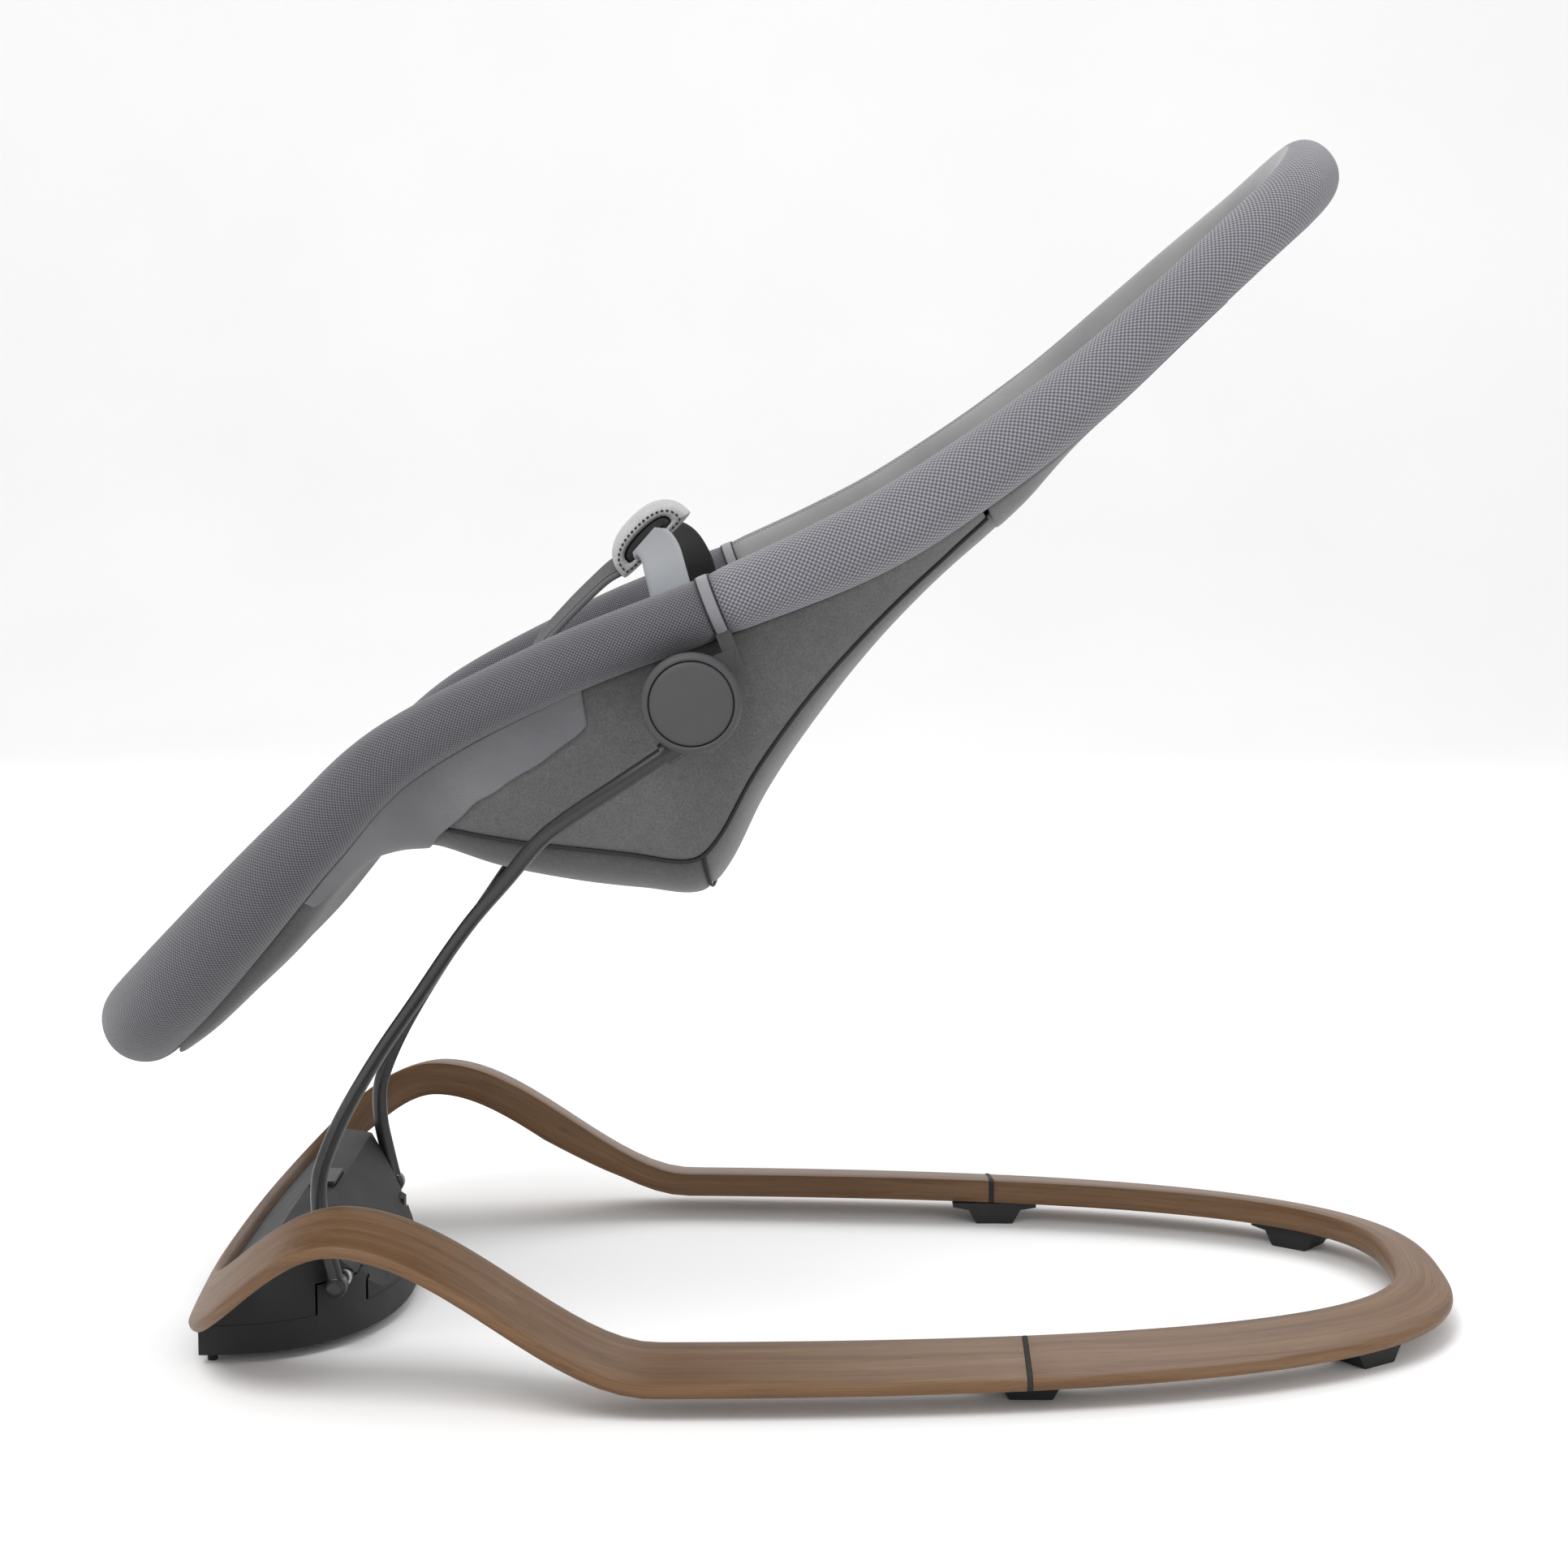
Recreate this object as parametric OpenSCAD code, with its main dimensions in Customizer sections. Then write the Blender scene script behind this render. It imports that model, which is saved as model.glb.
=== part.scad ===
// Baby bouncer seat: a bent wood base ring, two spring-steel legs that fold down,
// and a padded sling seat that reclines on two side hubs.
// +X points from the foot end to the head end, left is -Y, Z = 0 is the floor.

/* [Base ring] */
// Rear end of the ring, from the origin
ring_rear = 351; // [345:1:360]
// Front bar of the ring, distance in front of the origin
ring_front = 292; // [285:1:295]
// Half of the ring's width
ring_half_w = 210; // [205:1:215]
// Width of a rail along the sides
rail_w = 49; // [44:1:52]
// Width of the rail across the rear
rail_w_rear = 29; // [26:1:32]
// Width of the front bar
rail_w_front = 16; // [14:1:18]
// Thickness of a rail at its inner edge
rail_t_in = 13.5; // [12:0.5:15]
// Thickness of a rail at its outer edge
rail_t_out = 6; // [5.5:0.5:7]
// Height of the arch under the wood
arch_h = 78; // [76:1:84]
// Place of the joint between the front and the rear rail
joint_x = 121; // [110:1:130]
// Height of the feet
foot_h = 12; // [11.5:0.5:13]

/* [Housing] */
// Front wall of the housing, distance in front of the origin
housing_front = 284; // [282:1:286]
// Depth of the housing, front to rear
housing_d = 91; // [90:1:94]
// Half of the housing's width
housing_half_w = 122; // [120:1:123]
// Height of the housing's flat top
housing_top = 63; // [62:1:66]
// Height of the parting line between the shells
parting_z = 20; // [20:1:22]
// Wall thickness
wall = 2.5; // [2:0.5:3]

/* [Legs] */
// Leg tube radius
tube_r = 3.75; // [3.5:0.25:4]
// Pivot rod radius
rod_r = 3; // [2.5:0.25:3]

/* [Hubs] */
// Outer radius of a hub
hub_r = 23; // [22:0.5:24]
// Radius of the round push button
button_r = 19.3; // [18:0.1:19.4]
// Travel of the push button
button_travel = 4; // [3:0.5:4]

/* [Seat] */
// Radius of the frame tube in the rim
frame_r = 6; // [5:0.5:6]
// Thickness of the fabric panels
panel_t = 3; // [2.5:0.5:3.5]
// Thickness of the padded sling
sling_t = 5; // [4:0.5:6]
// Width of the waist webbing
web_w = 20; // [18:1:22]

/* [Hidden] */
$fn = 48;
LEFT = -1;
RIGHT = 1;
eps = 0.01;

// Colours
WOOD = [0.46, 0.33, 0.23];
PLASTIC = [0.2, 0.2, 0.21];
STEEL = [0.6, 0.6, 0.62];
DARK_TUBE = [0.17, 0.17, 0.18];
RUBBER = [0.13, 0.13, 0.13];
KNIT_LIGHT = [0.58, 0.58, 0.6];
KNIT_DARK = [0.4, 0.39, 0.42];
FELT = [0.36, 0.36, 0.36];
SMOOTH_KNIT = [0.42, 0.42, 0.43];
SLING = [0.68, 0.68, 0.67];
WEBBING = [0.14, 0.14, 0.15];

// ---------- Curves and sweeps ----------

function clamp(v, lo, hi) = max(lo, min(hi, v));
function unit(v) = v / norm(v);
function sgn_pow(v, e) = sign(v) * pow(abs(v), e);

// Catmull-Rom curve through the rows of p, at the parameter u in rows
function spline(p, u) =
    let (
        n = len(p),
        i = clamp(floor(u), 0, n - 2),
        t = u - i,
        a = p[max(i - 1, 0)], b = p[i], c = p[i + 1], d = p[min(i + 2, n - 1)]
    )
    0.5 * (2 * b + (c - a) * t + (2 * a - 5 * b + 4 * c - d) * t * t
        + (3 * b - a - 3 * c + d) * t * t * t);

// Value of a curve whose rows are [key, values...], at the key k, in straight steps
function row_at(rows, k, i = 0) =
    (i >= len(rows) - 2 || k <= rows[i + 1][0])
        ? let (f = clamp((k - rows[i][0]) / (rows[i + 1][0] - rows[i][0]), 0, 1))
          rows[i] * (1 - f) + rows[i + 1] * f
        : row_at(rows, k, i + 1);

// Eased step from 0 to 1 that starts with slope m and ends level
function ease(t, m = 0) = m * (t * t * t - 2 * t * t + t) + 3 * t * t - 2 * t * t * t;

// Direction of the path at point i
function tangent(path, i) = unit(path[min(i + 1, len(path) - 1)] - path[max(i - 1, 0)]);

// Ring of points round a path point; up is the direction that stays across the path
function ring(path, i, r, sides, up) =
    let (t = tangent(path, i), a = unit(cross(t, up)), b = cross(a, t))
    [for (k = [0 : sides - 1]) path[i] + r * (a * cos(360 * k / sides) + b * sin(360 * k / sides))];

// Faces that join rows of points into a closed skin between two loops per row
function tube_faces(rows, sides, base = 0, flip = false) = [
    for (i = [0 : rows - 2], k = [0 : sides - 1])
        let (
            a = base + i * sides + k, b = base + i * sides + (k + 1) % sides,
            c = b + sides, d = a + sides
        )
        each (flip ? [[a, d, c], [a, c, b]] : [[a, b, c], [a, c, d]])
];

// Tube with wall r_out - r_in along a path; radii may be lists with one value per point
module pipe(path, r_out, r_in, sides = 12, sides_in = 8, up = [0, 0, 1]) {
    n = len(path);
    function rad(r, i) = is_list(r) ? r[i] : r;
    outer = [for (i = [0 : n - 1]) each ring(path, i, rad(r_out, i), sides, up)];
    if (r_in == 0) {
        polyhedron(
            points = outer,
            faces = concat(
                tube_faces(n, sides),
                [[for (k = [0 : sides - 1]) sides - 1 - k]],
                [[for (k = [0 : sides - 1]) (n - 1) * sides + k]]
            )
        );
    } else {
        inner = [for (i = [0 : n - 1]) each ring(path, i, rad(r_in, i), sides, up)];
        m = n * sides;
        polyhedron(
            points = concat(outer, inner),
            faces = concat(
                tube_faces(n, sides),
                tube_faces(n, sides, m, true),
                [for (k = [0 : sides - 1]) let (q = (k + 1) % sides) each [[k, m + k, m + q], [k, m + q, q]]],
                [for (k = [0 : sides - 1])
                    let (q = (k + 1) % sides, e = (n - 1) * sides)
                    each [[e + k, e + q, m + e + q], [e + k, m + e + q, m + e + k]]]
            )
        );
    }
}

// Closed sheet between two grids of points with the same rows and columns
module sheet(top, bottom) {
    r = len(top);
    c = len(top[0]);
    m = r * c;
    function id(i, j) = i * c + j;
    polyhedron(
        points = concat([for (row = top) each row], [for (row = bottom) each row]),
        faces = concat(
            [for (i = [0 : r - 2], j = [0 : c - 2])
                each [[id(i, j), id(i, j + 1), id(i + 1, j + 1)], [id(i, j), id(i + 1, j + 1), id(i + 1, j)]]],
            [for (i = [0 : r - 2], j = [0 : c - 2])
                each [[m + id(i, j), m + id(i + 1, j + 1), m + id(i, j + 1)],
                      [m + id(i, j), m + id(i + 1, j), m + id(i + 1, j + 1)]]],
            [for (i = [0 : r - 2])
                each [[id(i, 0), id(i + 1, 0), m + id(i + 1, 0)], [id(i, 0), m + id(i + 1, 0), m + id(i, 0)]]],
            [for (i = [0 : r - 2]) let (k = c - 1)
                each [[id(i, k), m + id(i + 1, k), id(i + 1, k)], [id(i, k), m + id(i, k), m + id(i + 1, k)]]],
            [for (j = [0 : c - 2])
                each [[id(0, j), m + id(0, j + 1), id(0, j + 1)], [id(0, j), m + id(0, j), m + id(0, j + 1)]]],
            [for (j = [0 : c - 2]) let (k = r - 1)
                each [[id(k, j), id(k, j + 1), m + id(k, j + 1)], [id(k, j), m + id(k, j + 1), m + id(k, j)]]]
        )
    );
}

// Cylinder that points along Y, from y0 to y1, at x and z
module along_y(x, z, r, y0, y1) {
    translate([x, min(y0, y1), z]) rotate([-90, 0, 0]) cylinder(r = r, h = abs(y1 - y0));
}

// Flat outline in X and Z, from y0 to y1
module plate_y(outline, y0, y1) {
    translate([0, max(y0, y1), 0]) rotate([90, 0, 0]) linear_extrude(abs(y1 - y0)) polygon(outline);
}

// ---------- Base ring ----------

ring_mid_x = -150;
rear_power = 2.75;
front_power = 3.5;
arch_x = -203;
flat_x = -55;
nose_z = foot_h + 1;
nose_slope = 0.95;
edge_drop = 5.5;
rear_steps = 36;
front_steps = 16;
collar_t = 2.4;

// Height of the wood's lower face along the ring
function rail_z(x) =
    x < arch_x ? nose_z + (arch_h - nose_z) * ease(clamp((x + ring_front) / (arch_x + ring_front), 0, 1), nose_slope)
    : foot_h + (arch_h - foot_h) * ease(clamp((flat_x - x) / (flat_x - arch_x), 0, 1));

// How far the rail's inner edge hangs below its outer edge, on the arch only
function inner_drop(x) = edge_drop * clamp((flat_x - 35 - x) / 45, 0, 1) * clamp((x + ring_front) / 50, 0, 1);

// Even steps round a quarter of a superellipse: 0 at the end, 90 at the side
function even_angle(u) = 90 * pow(u, 1.5) / (pow(u, 1.5) + pow(1 - u, 1.5));

// Point of a superellipse, with its own height
function ring_point(angle, a, b, power) =
    let (x = ring_mid_x + a * sgn_pow(cos(angle), 2 / power), y = b * sgn_pow(sin(angle), 2 / power))
    [x, y, rail_z(x)];

// Inner and outer edge of the rail at an angle round the ring
function rail_edges(angle) =
    let (
        rear = cos(angle) >= 0,
        p = rear ? rear_power : front_power,
        a = rear ? ring_rear - ring_mid_x : ring_front + ring_mid_x,
        w = rear ? rail_w_rear : rail_w_front
    )
    [ring_point(angle, a - w, ring_half_w - rail_w, p), ring_point(angle, a, ring_half_w, p)];

quarter_rear = [for (i = [0 : rear_steps - 1]) even_angle(i / rear_steps)];
quarter_front = [for (i = [0 : front_steps - 1]) even_angle(i / front_steps)];
ring_angles = concat(
    quarter_rear,
    [90],
    [for (i = [front_steps - 1 : -1 : 0]) 180 - quarter_front[i]],
    [for (i = [1 : front_steps - 1]) 180 + quarter_front[i]],
    [270],
    [for (i = [rear_steps - 1 : -1 : 1]) 360 - quarter_rear[i]]
);

// Wedge section of the rail, as [distance from the inner edge, height]; g makes it fatter all round
function rail_section(w, g = 0, drop = 0) = [
    [-g, 4 - drop], [1 - g, 1.2 - g - drop], [3.5, -g - drop], [w - 3, -g], [w - 0.8 + g, 0.9 - g], [w + g, 2.8],
    [w - 0.8 + g, rail_t_out - 1 + g], [w - 3.5, rail_t_out + 0.4 + g], [4, rail_t_in - 0.1 + g],
    [1.2 - g, rail_t_in - 1.4 + g], [-g, rail_t_in - 4]
];

module ring_solid(g = 0) {
    n = len(ring_angles);
    edges = [for (a = ring_angles) rail_edges(a)];
    mids = [for (e = edges) (e[0] + e[1]) / 2];
    k = len(rail_section(10));
    points = [
        for (i = [0 : n - 1])
            let (
                across = edges[i][1] - edges[i][0],
                side = unit(across),
                ahead = unit(mids[(i + 1) % n] - mids[(i + n - 1) % n]),
                up = unit(cross(side, ahead))
            )
            each [for (s = rail_section(norm(across), g, inner_drop(mids[i][0]))) edges[i][0] + side * s[0] + up * s[1]]
    ];
    faces = [
        for (i = [0 : n - 1], j = [0 : k - 1])
            let (a = i * k + j, b = i * k + (j + 1) % k, m = ((i + 1) % n) * k)
            each [[a, b, m + (j + 1) % k], [a, m + (j + 1) % k, m + j]]
    ];
    polyhedron(points = points, faces = faces);
}

spigot_y = ring_half_w - rail_w + 17;
spigot_len = 60;
spigot_w = 18;
spigot_t = 4;
spigot_z = foot_h + 3;

// Steel tongue that lines up the two rails; side is LEFT or RIGHT
module spigot_shape(side, play) {
    translate([joint_x - spigot_len / 2 - play, side * spigot_y - spigot_w / 2 - play, spigot_z - play])
        cube([spigot_len + 2 * play, spigot_w + 2 * play, spigot_t + 2 * play]);
}

module ring_part(x0, x1) {
    difference() {
        intersection() {
            ring_solid();
            translate([x0, -300, -5]) cube([x1 - x0, 600, 150]);
        }
        for (side = [LEFT, RIGHT]) spigot_shape(side, 0.15);
        foot_screw_places() cylinder(r = screw_r + 0.1, h = foot_h + screw_grip);
    }
}

module wood_rail_front() {
    color(WOOD) ring_part(-400, joint_x - collar_t / 2);
}

module wood_rail_rear() {
    color(WOOD) ring_part(joint_x + collar_t / 2, 400);
}

module joint_collar(side) {
    color(RUBBER) difference() {
        intersection() {
            ring_solid(0.5);
            translate([joint_x - collar_t / 2, side > 0 ? 0 : -300, foot_h]) cube([collar_t, 300, 60]);
        }
        spigot_shape(side, 0.15);
    }
}

module joint_spigot(side) {
    color(STEEL) spigot_shape(side, 0);
}

// ---------- Feet ----------

mid_foot_y = ring_half_w - rail_w - 2;
rear_foot = [292, 106];
rear_foot_turn = 37;
foot_screw_shift = 6;
foot_w = 22;
foot_half_l = 24;
screw_r = 1.8;
screw_head_r = 3.4;
screw_head_h = 2.2;
screw_grip = 2.5;
foot_screw_span = 16;
FOOT_SIDE = [
    [-foot_half_l, foot_h], [-foot_half_l, foot_h - 2.5], [-15, foot_h - 4], [-11, 1], [-10, 0],
    [10, 0], [11, 1], [15, foot_h - 4], [foot_half_l, foot_h - 2.5], [foot_half_l, foot_h]
];

// Places a child at a middle foot (rear = false) or a rear foot (rear = true)
module at_foot(side, rear) {
    if (rear) translate([rear_foot[0], side * rear_foot[1], 0]) rotate(-side * rear_foot_turn) children();
    else translate([joint_x + 2, side * mid_foot_y, 0]) children();
}

// The eight places of the foot screws, at floor level
module foot_screw_places() {
    for (side = [LEFT, RIGHT], rear = [false, true], dx = [-foot_screw_span, foot_screw_span])
        at_foot(side, rear) translate([dx, rear ? 0 : side * foot_screw_shift, 0]) children();
}

module foot_block(screw_y) {
    color(PLASTIC) difference() {
        plate_y(FOOT_SIDE, -foot_w / 2, foot_w / 2);
        for (dx = [-foot_screw_span, foot_screw_span]) translate([dx, screw_y, -eps]) {
            cylinder(r = screw_r + 0.1, h = foot_h + 1);
            cylinder(r = screw_head_r + 0.2, h = foot_h - 3 + eps);
        }
    }
}

module foot(side, rear) {
    at_foot(side, rear) foot_block(rear ? 0 : side * foot_screw_shift);
}

module foot_screws() {
    color(STEEL) foot_screw_places() {
        translate([0, 0, foot_h - 3 - screw_head_h]) cylinder(r = screw_head_r, h = screw_head_h);
        translate([0, 0, foot_h - 3 - eps]) cylinder(r = screw_r, h = 3 + screw_grip);
    }
}

front_foot_x = -279;
front_foot_y = 112;
housing_floor_z = 5;

module front_foot(side) {
    color(RUBBER) translate([front_foot_x, side * front_foot_y, 0]) cylinder(r = 2.5, h = housing_floor_z);
}

// ---------- Housing ----------

pivot_x = -218;
pivot_z = 35;
cavity_z = housing_floor_z + wall;
slope_top_x = -231;
slope_end_x = -201;
plateau_x = -247;
slot_w = 1;
cheek_half_l = 10;
cheek_t = 8;
plan_power = 2.3;
bush_r = 5;

// Plan of the housing: flat front and a rounded rear, made smaller by inset
function housing_plan(inset = 0) = [
    for (i = [0 : 36])
        let (a = -90 + 5 * i, e = 2 / plan_power)
        [-housing_front + inset + (housing_d - 2 * inset) * sgn_pow(cos(a), e),
         (housing_half_w - inset) * sgn_pow(sin(a), e)]
];

// Side view of the space under the housing's top, lowered by inset
function housing_side(inset = 0) = [
    [-housing_front - 1, cavity_z - 10], [-housing_front - 1, 27 - inset], [plateau_x, housing_top - inset],
    [slope_top_x - inset / 2, housing_top - inset], [slope_end_x - inset, 22 - inset * 0.4], [-185, 20.5 - inset * 0.4],
    [-185, cavity_z - 10]
];

module plan_block(z0, z1, inset = 0) {
    translate([0, 0, z0]) linear_extrude(z1 - z0) polygon(housing_plan(inset));
}

// Half-width of the housing's wall where the rod comes out
rod_wall_y = housing_half_w * pow(1 - pow((pivot_x + housing_front) / housing_d, plan_power), 1 / plan_power);

// Block that bounds the tab of the lower shell that carries the rod at each side
module cheek(side, play, z0 = parting_z - eps) {
    translate([pivot_x - cheek_half_l - play, side > 0 ? rod_wall_y - 25 : -rod_wall_y - 15, z0])
        cube([2 * cheek_half_l + 2 * play, 40, pivot_z - z0 + play]);
}

module housing_upper() {
    color(PLASTIC) difference() {
        intersection() {
            plan_block(parting_z, housing_top + 1);
            plate_y(housing_side(), -140, 140);
        }
        intersection() {
            plan_block(parting_z - 1, housing_top + 1, wall);
            plate_y(housing_side(wall), -140, 140);
        }
        ring_solid(0.3);
        for (side = [LEFT, RIGHT]) {
            cheek(side, slot_w);
            along_y(pivot_x, pivot_z, bush_r + 0.6, side * 70, side * 130);
        }
        along_y(pivot_x, pivot_z, rod_r + 0.4, -80, 80);
        along_y(pivot_x, pivot_z, cam_r + 0.4, -cam_half_w - 1, cam_half_w + 1);
        translate([button_x0 - 0.4, -button_w / 2 - 0.4, housing_top - 10]) cube([button_d + 0.8, button_w + 0.8, 20]);
    }
    color(PLASTIC) for (p = housing_screw_spots)
        translate([p[0], p[1], parting_z + 1]) difference() {
            cylinder(r = 4, h = p[2] - parting_z - 1);
            translate([0, 0, -eps]) cylinder(r = screw_r + 0.1, h = 10);
        }
}

// Housing screws: x, y and the height of the boss's root under the top
housing_screw_spots = [
    [-265, -95, 41], [-265, 95, 41], [-255, -45, 51], [-255, 45, 51]
];

module housing_lower() {
    color(PLASTIC) difference() {
        union() {
            difference() {
                plan_block(housing_floor_z, parting_z - 0.2);
                plan_block(cavity_z, parting_z + 1, wall);
            }
            intersection() {
                plan_block(parting_z - 4, pivot_z);
                union() for (side = [LEFT, RIGHT]) cheek(side, 0, parting_z - 4);
                difference() {
                    plan_block(parting_z - 5, pivot_z + 1);
                    plan_block(parting_z - 6, pivot_z + 2, cheek_t);
                }
            }
            for (p = housing_screw_spots) translate([p[0], p[1], housing_floor_z]) cylinder(r = 4, h = 15);
            translate([spring_x, 0, cavity_z - 1]) cylinder(r = 2, h = 5);
        }
        ring_solid(0.3);
        for (side = [LEFT, RIGHT]) along_y(pivot_x, pivot_z, bush_r, side * 70, side * 130);
        for (p = housing_screw_spots) translate([p[0], p[1], 0]) {
            cylinder(r = screw_r + 0.1, h = 30);
            cylinder(r = screw_head_r + 0.2, h = housing_floor_z + 5);
        }
    }
}

module pivot_bush(side) {
    color(STEEL) difference() {
        along_y(pivot_x, pivot_z, bush_r - 0.05, side * (rod_wall_y - 11), side * (rod_wall_y - 3));
        along_y(pivot_x, pivot_z, rod_r + 0.05, side * 60, side * 130);
    }
}

module housing_screws() {
    color(STEEL) for (p = housing_screw_spots) translate([p[0], p[1], housing_floor_z + 2.6]) {
        cylinder(r = screw_head_r, h = screw_head_h);
        cylinder(r = screw_r, h = 18);
    }
}

// ---------- Fold lock ----------

button_w = 30;
button_d = 13;
button_x0 = -246;
button_proud = 2.5;
plunger_z = 22;
spring_x = button_x0 + button_d / 2;
tooth_z = 14;
cam_r = 3.8;
cam_half_w = 6;

module fold_button() {
    color(PLASTIC) {
        translate([button_x0, -button_w / 2, housing_top - 4]) cube([button_d, button_w, 4 + button_proud]);
        translate([button_x0 + 2, -8, plunger_z]) cube([button_d - 4, 16, housing_top - plunger_z - 3]);
        for (side = [LEFT, RIGHT]) {
            translate([button_x0 + 2, side > 0 ? 7 : -12, plunger_z]) cube([button_d - 4, 5, 10]);
            translate([button_x0 + button_d - 2 - eps, side > 0 ? 7 : -12, tooth_z]) cube([10, 5, 12]);
            translate([button_x0 + 4, side > 0 ? 7 : -12, tooth_z]) cube([button_d - 6, 5, 12]);
        }
    }
}

// Coil spring round the Z axis, from z0 to z1
module coil(r, wire_r, z0, z1, turns) {
    steps = turns * 12;
    path = [for (i = [0 : steps])
        let (a = 360 * turns * i / steps) [r * cos(a), r * sin(a), z0 + (z1 - z0) * i / steps]];
    pipe(path, wire_r, 0, sides = 6);
}

module latch_spring() {
    color(STEEL) translate([spring_x, 0, 0]) coil(3.6, 0.6, cavity_z + 0.8, plunger_z - 0.8, 5);
}

// ---------- Legs ----------

hub_x = -36;
hub_z = 336;
leg_hub_y = 192;
eye_y = 103.5;
eye_t = 9;
eye_r = 5;
// Centre line of the leg tube from the pivot to the hub, as x, half-width and z
LEG_LINE = [
    [pivot_x, eye_y, pivot_z], [-222, 104.5, 52], [-225.5, 104.5, 70], [-226, 104, 86], [-223.5, 103.5, 98],
    [-216, 105, 116], [-205, 112, 136], [-190, 123, 160], [-172, 137, 186], [-155, 149, 211],
    [-141, 160, 230], [-125, 170, 249], [-110, 178, 267], [-96, 186, 279.5], [-72, 191, 296],
    [-46, 192, 313.5]
];
leg_steps = 3;

function leg_path(side, from, to) = [
    for (i = [from * leg_steps : to * leg_steps])
        let (q = spline(LEG_LINE, i / leg_steps)) [q[0], side * q[1], q[2]]
];

module leg_tube(side) {
    color(DARK_TUBE) difference() {
        union() {
            pipe(leg_path(side, 0.4, len(LEG_LINE) - 1), tube_r, 0, up = [0, 1, 0]);
            along_y(pivot_x, pivot_z, eye_r, side * (eye_y - eye_t / 2), side * (eye_y + eye_t / 2));
        }
        along_y(pivot_x, pivot_z, rod_r, side * 95, side * 140);
    }
}

module pivot_rod() {
    color(STEEL) along_y(pivot_x, pivot_z, rod_r, -eye_y - eye_t / 2 - 1, eye_y + eye_t / 2 + 1);
}

// Short arm on the rod; the fold button's teeth stand beside it
module lock_cam() {
    color(STEEL) difference() {
        union() {
            along_y(pivot_x, pivot_z, cam_r, -cam_half_w, cam_half_w);
            translate([pivot_x - 3, -cam_half_w, pivot_z - 16]) cube([6, 2 * cam_half_w, 14]);
        }
        along_y(pivot_x, pivot_z, rod_r, -20, 20);
    }
}

// ---------- Recline hubs ----------

axle_r = 8;
bore_r = axle_r + 0.05;
stem_r = 5;
plate_y0 = 177;
plate_y1 = 185;
leg_hub_y0 = 186;
leg_hub_y1 = 198;
hub_face_y = 207;
button_face_y = 206.6;
button_back_y = 203.4;
spring_pocket_r = 13;
spring_pocket_y = 192;
leg_end = LEG_LINE[len(LEG_LINE) - 1];
leg_before_end = LEG_LINE[len(LEG_LINE) - 2];
leg_end_turn = atan2(leg_end[2] - leg_before_end[2], leg_end[0] - leg_before_end[0]);

// Turns a child's Z axis along the leg's end, with its origin at the tube's end
module at_leg_end(side) {
    translate([leg_end[0], side * leg_end[1], leg_end[2]]) rotate([0, 90 - leg_end_turn, 0]) children();
}

module leg_hub(side) {
    color(PLASTIC) difference() {
        union() {
            along_y(hub_x, hub_z, hub_r - 1, side * leg_hub_y0, side * leg_hub_y1);
            intersection() {
                at_leg_end(side) translate([0, 0, -4]) cylinder(r = tube_r + 1.8, h = 12);
                translate([hub_x - 60, side > 0 ? leg_hub_y0 : -leg_hub_y1, 250]) cube([90, leg_hub_y1 - leg_hub_y0, 100]);
            }
        }
        at_leg_end(side) translate([0, 0, -20]) cylinder(r = tube_r + 0.3, h = 20.2);
        along_y(hub_x, hub_z, bore_r, side * 180, side * 210);
        along_y(hub_x, hub_z, spring_pocket_r, side * spring_pocket_y, side * 210);
    }
}

module hub_rim(side) {
    color(PLASTIC) translate([hub_x, side * leg_hub_y1, hub_z]) rotate([-90 * side, 0, 0])
        rotate_extrude($fn = 96)
            polygon([[button_r + 0.3, 0], [hub_r, 0], [hub_r, hub_face_y - leg_hub_y1 - 2],
                [hub_r - 1.2, hub_face_y - leg_hub_y1 - 0.4], [hub_r - 2.4, hub_face_y - leg_hub_y1],
                [button_r + 0.3, hub_face_y - leg_hub_y1]]);
}

module recline_button(side) {
    color(PLASTIC) {
        along_y(hub_x, hub_z, button_r, side * button_back_y, side * button_face_y);
        along_y(hub_x, hub_z, stem_r, side * 181, side * (button_back_y + 1));
    }
}

module button_spring(side) {
    color(STEEL) translate([hub_x, 0, hub_z]) rotate([-90 * side, 0, 0])
        coil(10.5, 0.8, spring_pocket_y + 0.9, button_back_y - 0.9, 3);
}

// ---------- Seat rim ----------

// Half of the rim's centre line, foot to head: x, z, half-width, pad radius
RIM = [
    [-329, 152, 0, 22], [-322, 160, 48, 22], [-298, 184, 84, 22], [-262, 222, 112, 20.5],
    [-222, 265, 134, 17.5], [-178, 307, 152, 15], [-100, 349, 171, 14], [-27, 378, 175, 15],
    [40, 406, 171, 16.5], [91, 437, 165, 16.5], [141, 474, 155, 15.5], [184, 512, 140, 14.5],
    [220, 544, 117, 14.5], [247, 567, 84, 15], [261, 580, 44, 16], [265, 584, 0, 16.5]
];
hub_row = 7;
last_row = len(RIM) - 1;
rim_steps = 3;
rim_all = concat([[RIM[1][0], RIM[1][1], -RIM[1][2], RIM[1][3]]], RIM,
    [[RIM[last_row - 1][0], RIM[last_row - 1][1], -RIM[last_row - 1][2], RIM[last_row - 1][3]]]);

// Rim row [x, z, half-width, radius] at the parameter u, from 0 at the foot to last_row at the head
function rim(u) = spline(rim_all, u + 1);
function rim_point(u, side) = let (q = rim(u)) [q[0], side * q[2], q[1]];

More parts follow.
